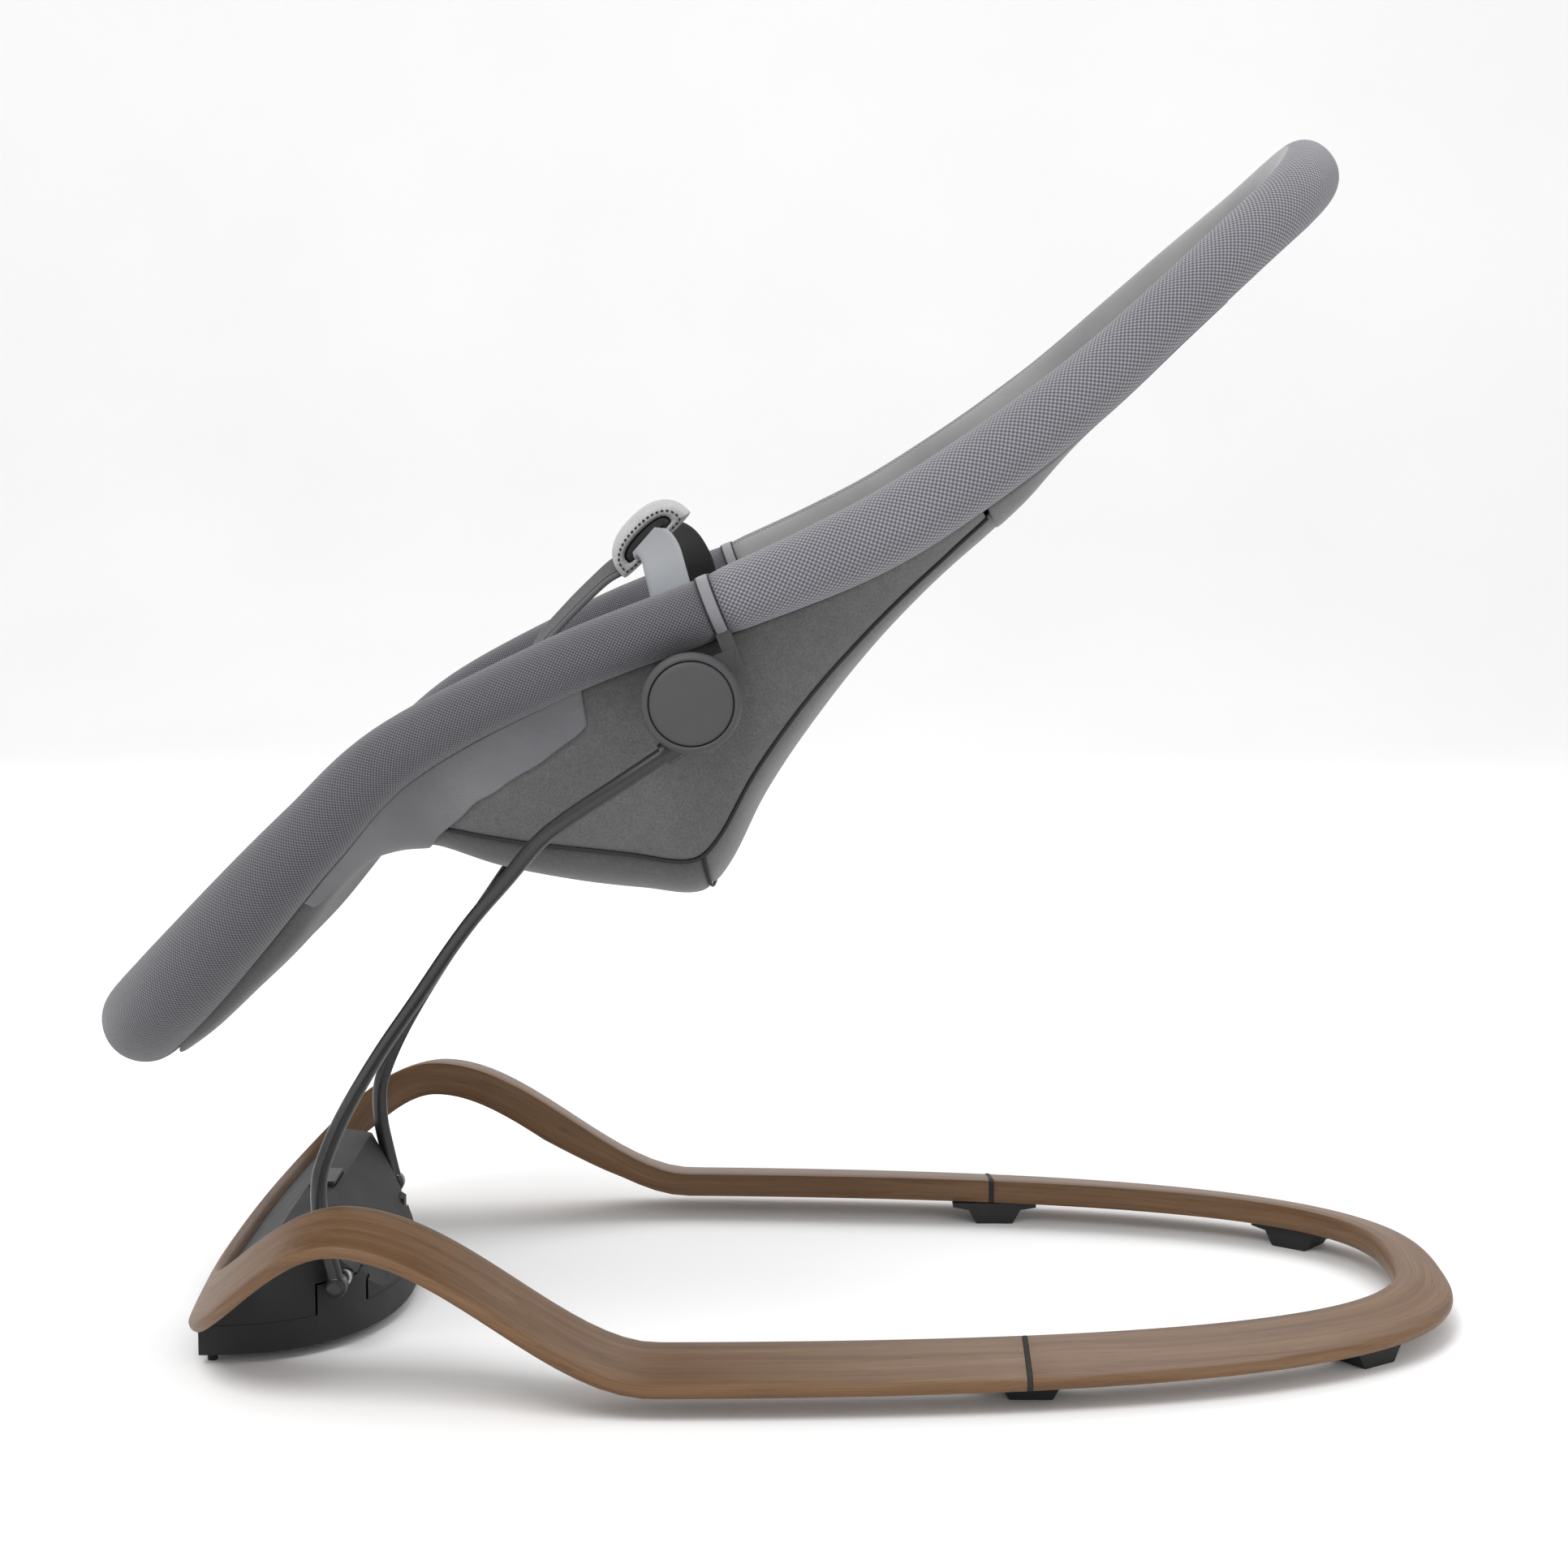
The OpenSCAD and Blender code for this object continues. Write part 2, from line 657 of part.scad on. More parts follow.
// Half a loop through the foot (u0 falls to 0 and rises to u0), or through the head
function loop_rows(u0, u1) =
    let (n = round(abs(u1 - u0) * rim_steps)) [for (i = [0 : n]) u0 + (u1 - u0) * i / n];
function loop_path(u_hub, u_end) = concat(
    [for (u = loop_rows(u_hub, u_end)) rim_point(u, LEFT)],
    [for (u = loop_rows(u_end, u_hub)) if (u != u_end) rim_point(u, RIGHT)]
);
function loop_radii(u_hub, u_end) = concat(
    [for (u = loop_rows(u_hub, u_end)) rim(u)[3]],
    [for (u = loop_rows(u_end, u_hub)) if (u != u_end) rim(u)[3]]
);

band_w = 9;
pad_gap_u = 0.075;
tube_gap_u = 0.01;
frame_wall = 1.2;

module frame_tube(u_end) {
    d = u_end > hub_row ? tube_gap_u : -tube_gap_u;
    color(STEEL) pipe(loop_path(hub_row + d, u_end), frame_r - 0.1, frame_r - frame_wall, sides = 10);
}

module rim_pad(u_end, tint) {
    d = u_end > hub_row ? pad_gap_u : -pad_gap_u;
    color(tint) pipe(loop_path(hub_row + d, u_end), loop_radii(hub_row + d, u_end), frame_r + 0.5, sides = 12);
}

hub_tangent = RIM[hub_row + 1] - RIM[hub_row - 1];
rim_turn = atan2(hub_tangent[1], hub_tangent[0]);
sleeve_r = 9;
neck_w = 7;

// Turns a child's Z axis along the rim at the hub
module at_rim_joint(side) {
    translate([RIM[hub_row][0], side * RIM[hub_row][2], RIM[hub_row][1]]) rotate([0, 90 - rim_turn, 0]) children();
}

module neck(side, play) {
    at_rim_joint(side) translate([0, side > 0 ? 2.5 - play : -9.5 - play, -neck_w / 2 - play])
        cube([30, 7 + 2 * play, neck_w + 2 * play]);
}

module hub_bracket(side) {
    color(PLASTIC) difference() {
        union() {
            along_y(hub_x, hub_z, hub_r - 3, side * plate_y0, side * plate_y1);
            plate_y([[hub_x - 19, hub_z], [hub_x - 18, 345], [hub_x + 19, 360], [hub_x + 19.5, hub_z]],
                side * plate_y0, side * plate_y1);
            neck(side, 0);
            at_rim_joint(side) translate([0, 0, -band_w / 2]) cylinder(r = sleeve_r, h = band_w);
        }
        at_rim_joint(side) translate([0, 0, -20]) cylinder(r = frame_r, h = 40);
        along_y(hub_x, hub_z, axle_r, side * 170, side * 200);
    }
}

module rim_band(side) {
    color(KNIT_LIGHT) difference() {
        at_rim_joint(side) translate([0, 0, -band_w / 2 + 1]) cylinder(r = 15.6, h = band_w - 2);
        at_rim_joint(side) translate([0, 0, -20]) cylinder(r = sleeve_r + 0.3, h = 40);
        neck(side, 0.3);
    }
}

// Hollow axle: fixed in the bracket, the leg hub turns on it, the button's stem slides in it
module hub_axle(side) {
    color(STEEL) difference() {
        along_y(hub_x, hub_z, axle_r, side * (plate_y0 - 1), side * (leg_hub_y1 - 0.5));
        along_y(hub_x, hub_z, stem_r + 0.05, side * 170, side * 210);
    }
}

// ---------- Seat fabric ----------

// Lowest line of the outer fabric and of the sling: rim parameter, x, z
UNDER = [
    [1, -303, 141], [2, -279, 161], [3, -241, 198], [4, -200, 246], [5, -166, 257], [5.4, -133, 247.5],
    [5.8, -98, 240.5], [6.2, -62, 236.5], [6.55, -34, 235], [6.75, -21, 249], [7, -5, 282], [7.25, 18, 317],
    [7.8, 45, 352], [8.2, 75, 384], [8.95, 104, 411], [9.3, 118, 425], [9.6, 130, 439], [10.2, 151, 463],
    [10.8, 182, 496], [11.5, 210, 521]
];
SLING_LINE = [
    [0.6, -316, 164], [1, -314, 166], [2, -288, 188], [3, -250, 221], [4, -210, 262], [5, -168, 292],
    [6, -100, 290], [6.5, -62, 272], [7, -30, 272], [7.5, -2, 306], [8, 26, 350], [9, 73, 408],
    [10, 124, 457], [11, 171, 503], [12, 208, 538], [13, 238, 562], [14.4, 254, 572]
];
fabric_power = 8;
side_taper = 0.1;
sling_power = 2.2;
across_steps = 12;

// Unit vector across the rim in side view, pointing down and back
function rim_down(u) = let (d = rim(u + 0.05) - rim(u - 0.05), t = unit([d[0], d[1]])) [t[1], -t[0]];

// How much wider than its radius the rim pad is when it is cut across the seat
function pad_spread(u) =
    let (d = rim(u + 0.05) - rim(u - 0.05), ahead = [d[0], d[1]])
    norm([d[0], d[1], d[2]]) / norm(ahead);

// One point of a hanging panel: angle 0 is the left rim, 180 the right rim
function panel_point(top, low, half_w, angle, power, taper = 0) =
    let (h = pow(sin(angle), 2 / power), q = top + (low - top) * h)
    [q[0], -half_w * (1 - taper * h) * sgn_pow(cos(angle), 2 / power), q[1]];

// Row of the outer fabric, moved inwards by t
function under_row(u, angles, t) =
    let (
        r = rim(u), d = rim_down(u), b = row_at(UNDER, u), low = [b[1], b[2]],
        top = [r[0], r[1]] + d * (r[3] + 0.6)
    )
    [for (a = angles) panel_point(top, low - d * t, r[2] - 2 - t, a, fabric_power, side_taper)];

// Row of the sling, moved down and outwards by t
function sling_row(u, angles, t) =
    let (
        r = rim(u), b = row_at(SLING_LINE, u), low = [b[1], b[2]],
        top = [r[0], r[1]], d = rim_down(u), half_w = r[2] - (r[3] + 0.6) * pad_spread(u)
    )
    [for (a = angles) panel_point(top, low + d * t, half_w - sling_t + t, a, sling_power)];

function steps_between(a, b, n) = [for (i = [0 : n]) a + (b - a) * i / n];

module under_panel(u0, u1, a0, a1, tint, rows, columns) {
    angles = steps_between(a0, a1, columns);
    color(tint) sheet(
        [for (u = steps_between(u0, u1, rows)) under_row(u, angles, panel_t)],
        [for (u = steps_between(u0, u1, rows)) under_row(u, angles, 0)]
    );
}

sling_u0 = 1.85;
sling_u1 = 12.9;

module seat_sling() {
    angles = steps_between(0, 180, 14);
    color(SLING) sheet(
        [for (u = steps_between(sling_u0, sling_u1, 34)) sling_row(u, angles, 0)],
        [for (u = steps_between(sling_u0, sling_u1, 34)) sling_row(u, angles, sling_t)]
    );
}

seam_angle = 30;
seam_gap = 1.8;
calf_u = 4;
pod_u = 5;
corner_u = 6.62;
pod_end_u = 9;
flap_end_u = 11.5;
seam_u = 0.02;

module pod_side(side) {
    a0 = side > 0 ? 180 - seam_angle + seam_gap : 0;
    a1 = side > 0 ? 180 : seam_angle - seam_gap;
    under_panel(pod_u + seam_u, pod_end_u, a0, a1, FELT, 14, 5);
}

module pod_bottom_panel() {
    under_panel(pod_u + seam_u, corner_u - seam_u, seam_angle, 180 - seam_angle, FELT, 5, 6);
}

module pod_back_panel() {
    under_panel(corner_u + seam_u, pod_end_u, seam_angle, 180 - seam_angle, FELT, 9, 6);
}

module side_panel(side) {
    under_panel(calf_u + seam_u, pod_u - seam_u, side > 0 ? 90.5 : 0, side > 0 ? 180 : 89.5, SMOOTH_KNIT, 4, 7);
}

module calf_panel() {
    under_panel(1.2, calf_u - seam_u, 0, 180, FELT, 8, across_steps);
}

module back_flap() {
    under_panel(pod_end_u + 0.06, flap_end_u, 0, 180, FELT, 6, across_steps);
}

// ---------- Harness ----------

buckle_x = -64;
buckle_z = 405;
buckle_turn = 45;
buckle_l = 46;
buckle_t = 15;
buckle_half_w = 22;
strap_t = 1.6;
press_x = -4;
press_r = 9;
press_h = 2.6;
crotch_half_w = 17;
strap_turn = 8.5;
strap_x = -74;

// Puts a child's X axis along the buckle, pointing to its upper end
module at_buckle() {
    translate([buckle_x, 0, buckle_z]) rotate([0, -buckle_turn, 0]) children();
}

// Rounded outline of the buckle in its own X and Z, made larger by g
function buckle_outline(g = 0) = [
    [-buckle_l / 2 - g, -5], [-buckle_l / 2 - g, 4], [-14, buckle_t / 2 - 0.5 + g], [2, buckle_t / 2 + 1.5 + g],
    [16, buckle_t / 2 + g], [buckle_l / 2 - 3, buckle_t / 2 - 1.5 + g]
];

module buckle_body() {
    color(PLASTIC) difference() {
        at_buckle() {
            plate_y(concat(buckle_outline(), [[buckle_l / 2 - 3, -3], [10, -buckle_t / 2], [-15, -buckle_t / 2]]),
                -buckle_half_w, buckle_half_w);
        }
        at_buckle() translate([press_x, 0, buckle_t / 2 - 3]) cylinder(r = press_r + 0.3, h = 20);
        at_buckle() translate([5, -buckle_half_w - 1, -2.4]) cube([16, 2 * buckle_half_w + 2, 4.8]);
    }
}

module buckle_button() {
    color(PLASTIC) at_buckle() translate([press_x, 0, buckle_t / 2 - 1]) cylinder(r = press_r, h = press_h);
}

// Fabric cover laid over the buckle's front, clear of its button
module buckle_cover() {
    color(SLING) at_buckle() plate_y(
        concat(buckle_outline(5.2), [for (i = [5 : -1 : 0]) buckle_outline(2.6)[i]]),
        -buckle_half_w - 3, buckle_half_w + 3);
}

module tongue(side) {
    color(PLASTIC) at_buckle() difference() {
        union() {
            translate([6, side > 0 ? 8 : -26, -1.8]) cube([14, 18, 3.6]);
            translate([4, side > 0 ? 26 : -38, -4]) cube([18, 12, 8]);
        }
        translate([2, side > 0 ? 29 : -35, -1.2]) cube([30, 6, 2.4]);
    }
}

// Middle line of a waist strap in Y and Z, from the tongue to the side of the sling
WAIST_LINE = [[39.5, 412], [58, 411], [80, 406], [105, 395], [128, 380], [142, 364]];

module waist_strap(side) {
    path = [for (i = [0 : 15]) spline(WAIST_LINE, i / 3)];
    band = concat(path, [for (i = [15 : -1 : 0]) path[i] - [0.6, 1] * strap_t]);
    color(WEBBING) rotate([0, 0, -side * strap_turn]) translate([strap_x, 0, 0])
        rotate([90, 0, 90]) linear_extrude(web_w) polygon([for (p = band) [side * p[0], p[1]]]);
}

// Middle line of the crotch strap in X and Z
CROTCH_LINE = [[-140, 306], [-136, 322], [-127, 345], [-112, 363], [-98, 377], [-90, 387.5]];

module crotch_strap() {
    path = [for (i = [0 : 15]) spline(CROTCH_LINE, i / 3)];
    color(WEBBING) plate_y(concat(path, [for (i = [15 : -1 : 0]) path[i] + [3, -1.2]]), -crotch_half_w, crotch_half_w);
}

// ---------- Nodes ----------

wood_rail_front();
wood_rail_rear();
joint_collar(LEFT);  // joint_collar_left
joint_collar(RIGHT);  // joint_collar_right
joint_spigot(LEFT);  // joint_spigot_left
joint_spigot(RIGHT);  // joint_spigot_right
foot(LEFT, false);  // mid_foot_left
foot(RIGHT, false);  // mid_foot_right
foot(LEFT, true);  // rear_foot_left
foot(RIGHT, true);  // rear_foot_right
front_foot(LEFT);  // front_foot_left
front_foot(RIGHT);  // front_foot_right
housing_upper();
housing_lower();
pivot_bush(LEFT);  // pivot_bush_left
pivot_bush(RIGHT);  // pivot_bush_right
housing_screws();
foot_screws();
fold_button();
latch_spring();
leg_tube(LEFT);  // leg_tube_left
leg_tube(RIGHT);  // leg_tube_right
pivot_rod();
lock_cam();
leg_hub(LEFT);  // leg_hub_left
leg_hub(RIGHT);  // leg_hub_right
hub_rim(LEFT);  // hub_rim_left
hub_rim(RIGHT);  // hub_rim_right
recline_button(LEFT);  // recline_button_left
recline_button(RIGHT);  // recline_button_right
button_spring(LEFT);  // button_spring_left
button_spring(RIGHT);  // button_spring_right
hub_bracket(LEFT);  // hub_bracket_left
hub_bracket(RIGHT);  // hub_bracket_right
hub_axle(LEFT);  // hub_axle_left
hub_axle(RIGHT);  // hub_axle_right
frame_tube(last_row);  // frame_tube_upper
frame_tube(0);  // frame_tube_lower
rim_pad(last_row, KNIT_LIGHT);  // rim_pad_upper
rim_pad(0, KNIT_DARK);  // rim_pad_lower
rim_band(LEFT);  // rim_band_left
rim_band(RIGHT);  // rim_band_right
seat_sling();
pod_side(LEFT);  // pod_side_left
pod_side(RIGHT);  // pod_side_right
pod_bottom_panel();
pod_back_panel();
side_panel(LEFT);  // side_panel_left
side_panel(RIGHT);  // side_panel_right
calf_panel();
back_flap();
crotch_strap();
waist_strap(LEFT);  // waist_strap_left
waist_strap(RIGHT);  // waist_strap_right
buckle_body();
buckle_cover();
buckle_button();
tongue(LEFT);  // tongue_left
tongue(RIGHT);  // tongue_right
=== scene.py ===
"""Looks of the bouncer seat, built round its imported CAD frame."""

import math

import bpy
import numpy as np
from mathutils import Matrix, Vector, noise


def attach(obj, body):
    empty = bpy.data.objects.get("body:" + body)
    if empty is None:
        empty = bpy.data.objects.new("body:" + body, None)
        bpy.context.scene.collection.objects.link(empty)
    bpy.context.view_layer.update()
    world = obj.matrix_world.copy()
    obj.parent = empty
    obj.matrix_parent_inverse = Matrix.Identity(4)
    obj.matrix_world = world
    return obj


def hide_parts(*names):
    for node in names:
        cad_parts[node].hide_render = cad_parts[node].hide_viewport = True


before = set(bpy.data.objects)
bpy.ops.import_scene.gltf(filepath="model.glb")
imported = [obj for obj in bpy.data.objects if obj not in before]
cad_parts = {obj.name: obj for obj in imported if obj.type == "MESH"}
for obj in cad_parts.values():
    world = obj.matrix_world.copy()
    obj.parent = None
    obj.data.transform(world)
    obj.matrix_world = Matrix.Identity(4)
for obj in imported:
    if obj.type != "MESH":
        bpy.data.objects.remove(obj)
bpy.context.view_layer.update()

MM = 0.001
LEFT, RIGHT = -1, 1
SIDES = {"left": LEFT, "right": RIGHT}
# Edges of a hard piece that turn by more than this, in degrees, are rounded
SHARP_ANGLE = 32


# ---------- Curves, in millimetres ----------


def catmull(rows, u):
    """Point of a smooth curve through the rows, at the parameter u in rows."""
    rows = np.asarray(rows, float)
    i = int(np.clip(math.floor(u), 0, len(rows) - 2))
    t = u - i
    a, b, c, d = rows[max(i - 1, 0)], rows[i], rows[i + 1], rows[min(i + 2, len(rows) - 1)]
    return 0.5 * (2 * b + (c - a) * t + (2 * a - 5 * b + 4 * c - d) * t**2 + (3 * b - a - 3 * c + d) * t**3)


def curve_at(rows, key):
    """Values of a smooth curve whose rows are [key, values...], at a key."""
    rows = np.asarray(rows, float)
    keys, values = rows[:, 0], rows[:, 1:]
    i = int(np.clip(np.searchsorted(keys, key) - 1, 0, len(keys) - 2))
    span = keys[i + 1] - keys[i]
    t = np.clip((key - keys[i]) / span, 0, 1)

    def slope(k):
        lo, hi = max(k - 1, 0), min(k + 1, len(keys) - 1)
        return (values[hi] - values[lo]) / (keys[hi] - keys[lo]) * span

    h = [2 * t**3 - 3 * t**2 + 1, t**3 - 2 * t**2 + t, 3 * t**2 - 2 * t**3, t**3 - t**2]
    return h[0] * values[i] + h[1] * slope(i) + h[2] * values[i + 1] + h[3] * slope(i + 1)


def unit(v):
    return v / max(np.linalg.norm(v), 1e-9)


def signed_power(v, e):
    return math.copysign(abs(v) ** e, v)


def ease(t, m=0.0):
    """Eased step from 0 to 1 that starts with slope m and ends level."""
    t = min(max(t, 0.0), 1.0)
    return m * (t**3 - 2 * t**2 + t) + 3 * t**2 - 2 * t**3


# ---------- Meshes ----------


def new_piece(name, mesh, material, body):
    """Object that holds a mesh, with its material and the body it rides on."""
    obj = bpy.data.objects.new(name, mesh)
    bpy.context.scene.collection.objects.link(obj)
    mesh.materials.append(material)
    if body:
        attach(obj, body)
    return obj


def mesh_from(name, points, faces, uvs=None):
    """Mesh from points in millimetres; uvs has one pair per face corner, in metres of cloth."""
    mesh = bpy.data.meshes.new(name)
    mesh.from_pydata([tuple(p) for p in np.asarray(points) * MM], [], faces)
    if uvs is not None:
        layer = mesh.uv_layers.new(name="cloth")
        layer.data.foreach_set("uv", np.asarray(uvs, np.float32).ravel())
    mesh.polygons.foreach_set("use_smooth", [True] * len(mesh.polygons))
    mesh.update()
    return mesh


def lengths_along(points):
    """Length from the first point to each point of a line."""
    steps = np.linalg.norm(np.diff(points, axis=0), axis=1)
    return np.concatenate([[0.0], np.cumsum(steps)])


def grid_mesh(name, grid):
    """Open mesh over a grid of points, with uvs in metres along and across it."""
    grid = np.asarray(grid, float)
    rows, columns = grid.shape[:2]
    u = lengths_along(grid[:, columns // 2])
    v = lengths_along(grid[rows // 2])
    faces, uvs = [], []
    for i in range(rows - 1):
        for j in range(columns - 1):
            corners = [(i, j), (i, j + 1), (i + 1, j + 1), (i + 1, j)]
            faces.append([a * columns + b for a, b in corners])
            uvs += [(u[a] * MM, v[b] * MM) for a, b in corners]
    return mesh_from(name, grid.reshape(-1, 3), faces, uvs)


def tube_mesh(name, rows, around, loop=False):
    """Closed skin over rows of section points; around is the cloth's width round the section, in mm."""
    rows = np.asarray(rows, float)
    n, k = rows.shape[:2]
    u = lengths_along(rows.mean(axis=1))
    last = n if loop else n - 1
    if loop:
        u = np.append(u, u[-1] + np.linalg.norm(rows[0].mean(axis=0) - rows[-1].mean(axis=0)))
    faces, uvs = [], []
    for i in range(last):
        for j in range(k):
            corners = [(i, j), (i, j + 1), (i + 1, j + 1), (i + 1, j)]
            faces.append([(a % n) * k + b % k for a, b in corners])
            uvs += [(u[a] * MM, around * b / k * MM) for a, b in corners]
    if not loop:
        for row, turn in ((0, 1), (n - 1, -1)):
            faces.append([row * k + j for j in range(k)][:: -turn])
            uvs += [(u[row] * MM, 0.0)] * k
    return mesh_from(name, rows.reshape(-1, 3), faces, uvs)


def frames_along(path, up):
    """Side and up vectors at each point of a path; up stays as near as it can to the one given."""
    path = np.asarray(path, float)
    ahead = np.gradient(path, axis=0)
    result = []
    for t in ahead:
        t = unit(t)
        side = unit(np.cross(up, t))
        result.append((side, np.cross(t, side)))
    return result


def round_rows(path, radii, sides, up):
    """Rows of round sections along a path."""
    angles = np.arange(sides) * 2 * math.pi / sides
    rows = []
    for point, radius, (side, high) in zip(path, radii, frames_along(path, up)):
        rows.append([point + radius * (math.cos(a) * side + math.sin(a) * high) for a in angles])
    return rows


def round_tube(name, path, radius, material, body, up, sides=12):
    """Round tube or piping along a path, with its ends closed."""
    rows = round_rows(np.asarray(path, float), [radius] * len(path), sides, up)
    mesh = tube_mesh(name, rows, 2 * math.pi * radius)
    return new_piece(name, mesh, material, body)


def revolve_mesh(name, profile, centre, axis_sign, steps):
    """Skin of a (radius, depth) profile turned round the Y axis at a centre; depth grows outwards."""
    x, _, z = centre
    angles = np.arange(steps) * 2 * math.pi / steps * -axis_sign
    rows = [[[x + radius * math.cos(a), axis_sign * depth, z + radius * math.sin(a)] for a in angles]
            for radius, depth in profile]
    widest = max(radius for radius, _ in profile)
    return tube_mesh(name, rows, 2 * math.pi * widest)


def add_modifier(obj, kind, **settings):
    modifier = obj.modifiers.new(kind.lower(), kind)
    for key, value in settings.items():
        setattr(modifier, key, value)


def smooth_out(obj):
    add_modifier(obj, "SUBSURF", levels=1, render_levels=1)


def thicken(obj, thickness):
    """Gives an open grid its cloth thickness, inwards, and rounds its edges."""
    add_modifier(obj, "SOLIDIFY", thickness=thickness * MM, offset=-1, use_even_offset=True)
    smooth_out(obj)


def soft_edges(obj, width):
    """Small rounded edges on a hard piece, and flat faces that shade flat."""
    obj.data.polygons.foreach_set("use_smooth", [True] * len(obj.data.polygons))
    add_modifier(obj, "WELD", merge_threshold=0.02 * MM)
    add_modifier(obj, "BEVEL", width=width * MM, segments=2, limit_method="ANGLE",
                 angle_limit=math.radians(SHARP_ANGLE), use_clamp_overlap=True)
    add_modifier(obj, "WEIGHTED_NORMAL", keep_sharp=False, weight=100)


# ---------- Materials ----------


class Look:
    """A material and the node tree behind it."""

    def __init__(self, name, **sockets):
        self.material = bpy.data.materials.new(name)
        self.material.use_nodes = True
        self.tree = self.material.node_tree
        self.shader = self.tree.nodes["Principled BSDF"]
        self.set(self.shader, sockets)

    def set(self, target, sockets):
        for key, value in sockets.items():
            socket = target.inputs[key.replace("_", " ")] if isinstance(key, str) else target.inputs[key]
            if isinstance(value, bpy.types.NodeSocket):
                self.tree.links.new(value, socket)
            else:
                socket.default_value = value

    def node(self, kind, options=None, **sockets):
        made = self.tree.nodes.new("ShaderNode" + kind)
        for key, value in (options or {}).items():
            setattr(made, key, value)
        self.set(made, sockets)
        return made

    def place(self):
        """The point on the piece, in metres of the shared frame."""
        return self.node("TexCoord").outputs["Object"]

    def cloth(self):
        """The point on the cloth, in metres along and across it."""
        return self.node("UVMap", {"uv_map": "cloth"}).outputs["UV"]

    def scaled(self, vector, scale):
        made = self.node("Mapping", Vector=vector)
        made.inputs["Scale"].default_value = scale
        return made.outputs["Vector"]

    def noise(self, vector, scale, detail=2.0, rough=0.5):
        made = self.node("TexNoise", Vector=vector, Scale=scale, Detail=detail, Roughness=rough)
        return made.outputs["Fac"]

    def maths(self, operation, a, b=None):
        made = self.node("Math", {"operation": operation})
        self.set(made, {0: a} if b is None else {0: a, 1: b})
        return made.outputs[0]

    def ramp(self, value, stops):
        """Colours at positions along a value; a stop is (position, grey level or colour)."""
        made = self.node("ValToRGB", Fac=value)
        elements = made.color_ramp.elements
        while len(elements) < len(stops):
            elements.new(0.5)
        for element, (position, colour) in zip(elements, stops):
            rgb = (colour,) * 3 if isinstance(colour, float) else colour
            element.position = position
            element.color = (*rgb, 1)
        return made.outputs["Color"]

    def levels(self, value, low, high, source=(0, 1)):
        """The value, spread from its source range onto low..high."""
        made = self.node("MapRange", Value=value)
        made.inputs["From Min"].default_value, made.inputs["From Max"].default_value = source
        made.inputs["To Min"].default_value = low
        made.inputs["To Max"].default_value = high
        return made.outputs["Result"]

    def multiply(self, factor, a, b):
        """Colour a, multiplied by colour b as far as the factor says."""
        made = self.node("Mix", {"data_type": "RGBA", "blend_type": "MULTIPLY"})
        self.set(made, {0: factor, 6: a, 7: b})
        return made.outputs[2]

    def bump(self, height, distance, strength, normal=None):
        made = self.node("Bump", Height=height, Distance=distance * MM, Strength=strength)
        if normal is not None:
            self.tree.links.new(normal, made.inputs["Normal"])
        return made.outputs["Normal"]

    def finish(self, **sockets):
        self.set(self.shader, sockets)
        return self.material


def waves(look, vector, pitch_u, pitch_v):
    """Field of raised dots in rows that are set half a step apart, from 0 to 1."""
    parts = look.node("SeparateXYZ", Vector=vector)
    a = look.maths("COSINE", look.maths("MULTIPLY", parts.outputs["X"], 2 * math.pi / (pitch_u * MM)))
    b = look.maths("COSINE", look.maths("MULTIPLY", parts.outputs["Y"], 2 * math.pi / (pitch_v * MM)))
    return look.levels(look.maths("MULTIPLY", a, b), 0, 1, source=(-1, 1))


def plastic(name, dark, light, roughness):
    """Moulded plastic with a fine grain, faint flow marks and a little wear."""
    look = Look(name, Specular_IOR_Level=0.3)
    place = look.place()
    cloudy = look.noise(place, 18, 4)
    grain = look.noise(place, 2600, 2)
    tone = look.ramp(cloudy, [(0.3, dark), (0.72, light)])
    rough = look.levels(look.noise(place, 60, 3), roughness - 0.06, roughness + 0.08)
    return look.finish(Base_Color=tone, Roughness=rough, Normal=look.bump(grain, 0.06, 0.5))


def tube_paint(name):
    """Satin powder coat on steel tube."""
    look = Look(name, Specular_IOR_Level=0.5)
    place = look.place()
    cloudy = look.noise(place, 25, 3)
    tone = look.ramp(cloudy, [(0.3, (0.012, 0.012, 0.013)), (0.7, (0.017, 0.017, 0.018))])
    rough = look.levels(look.noise(place, 90, 3), 0.24, 0.33)
    normal = look.bump(look.noise(place, 1500, 2), 0.03, 0.4)
    return look.finish(Base_Color=tone, Roughness=rough, Normal=normal)


def bright_steel(name):
    """Zinc-plated steel with fine scratches."""
    look = Look(name, Metallic=1.0)
    place = look.place()
    lines = look.noise(look.scaled(place, (40, 900, 40)), 4, 4)
    tone = look.ramp(lines, [(0.3, (0.42, 0.42, 0.43)), (0.7, (0.6, 0.6, 0.61))])
    rough = look.levels(lines, 0.28, 0.42)
    return look.finish(Base_Color=tone, Roughness=rough, Normal=look.bump(lines, 0.02, 0.4))


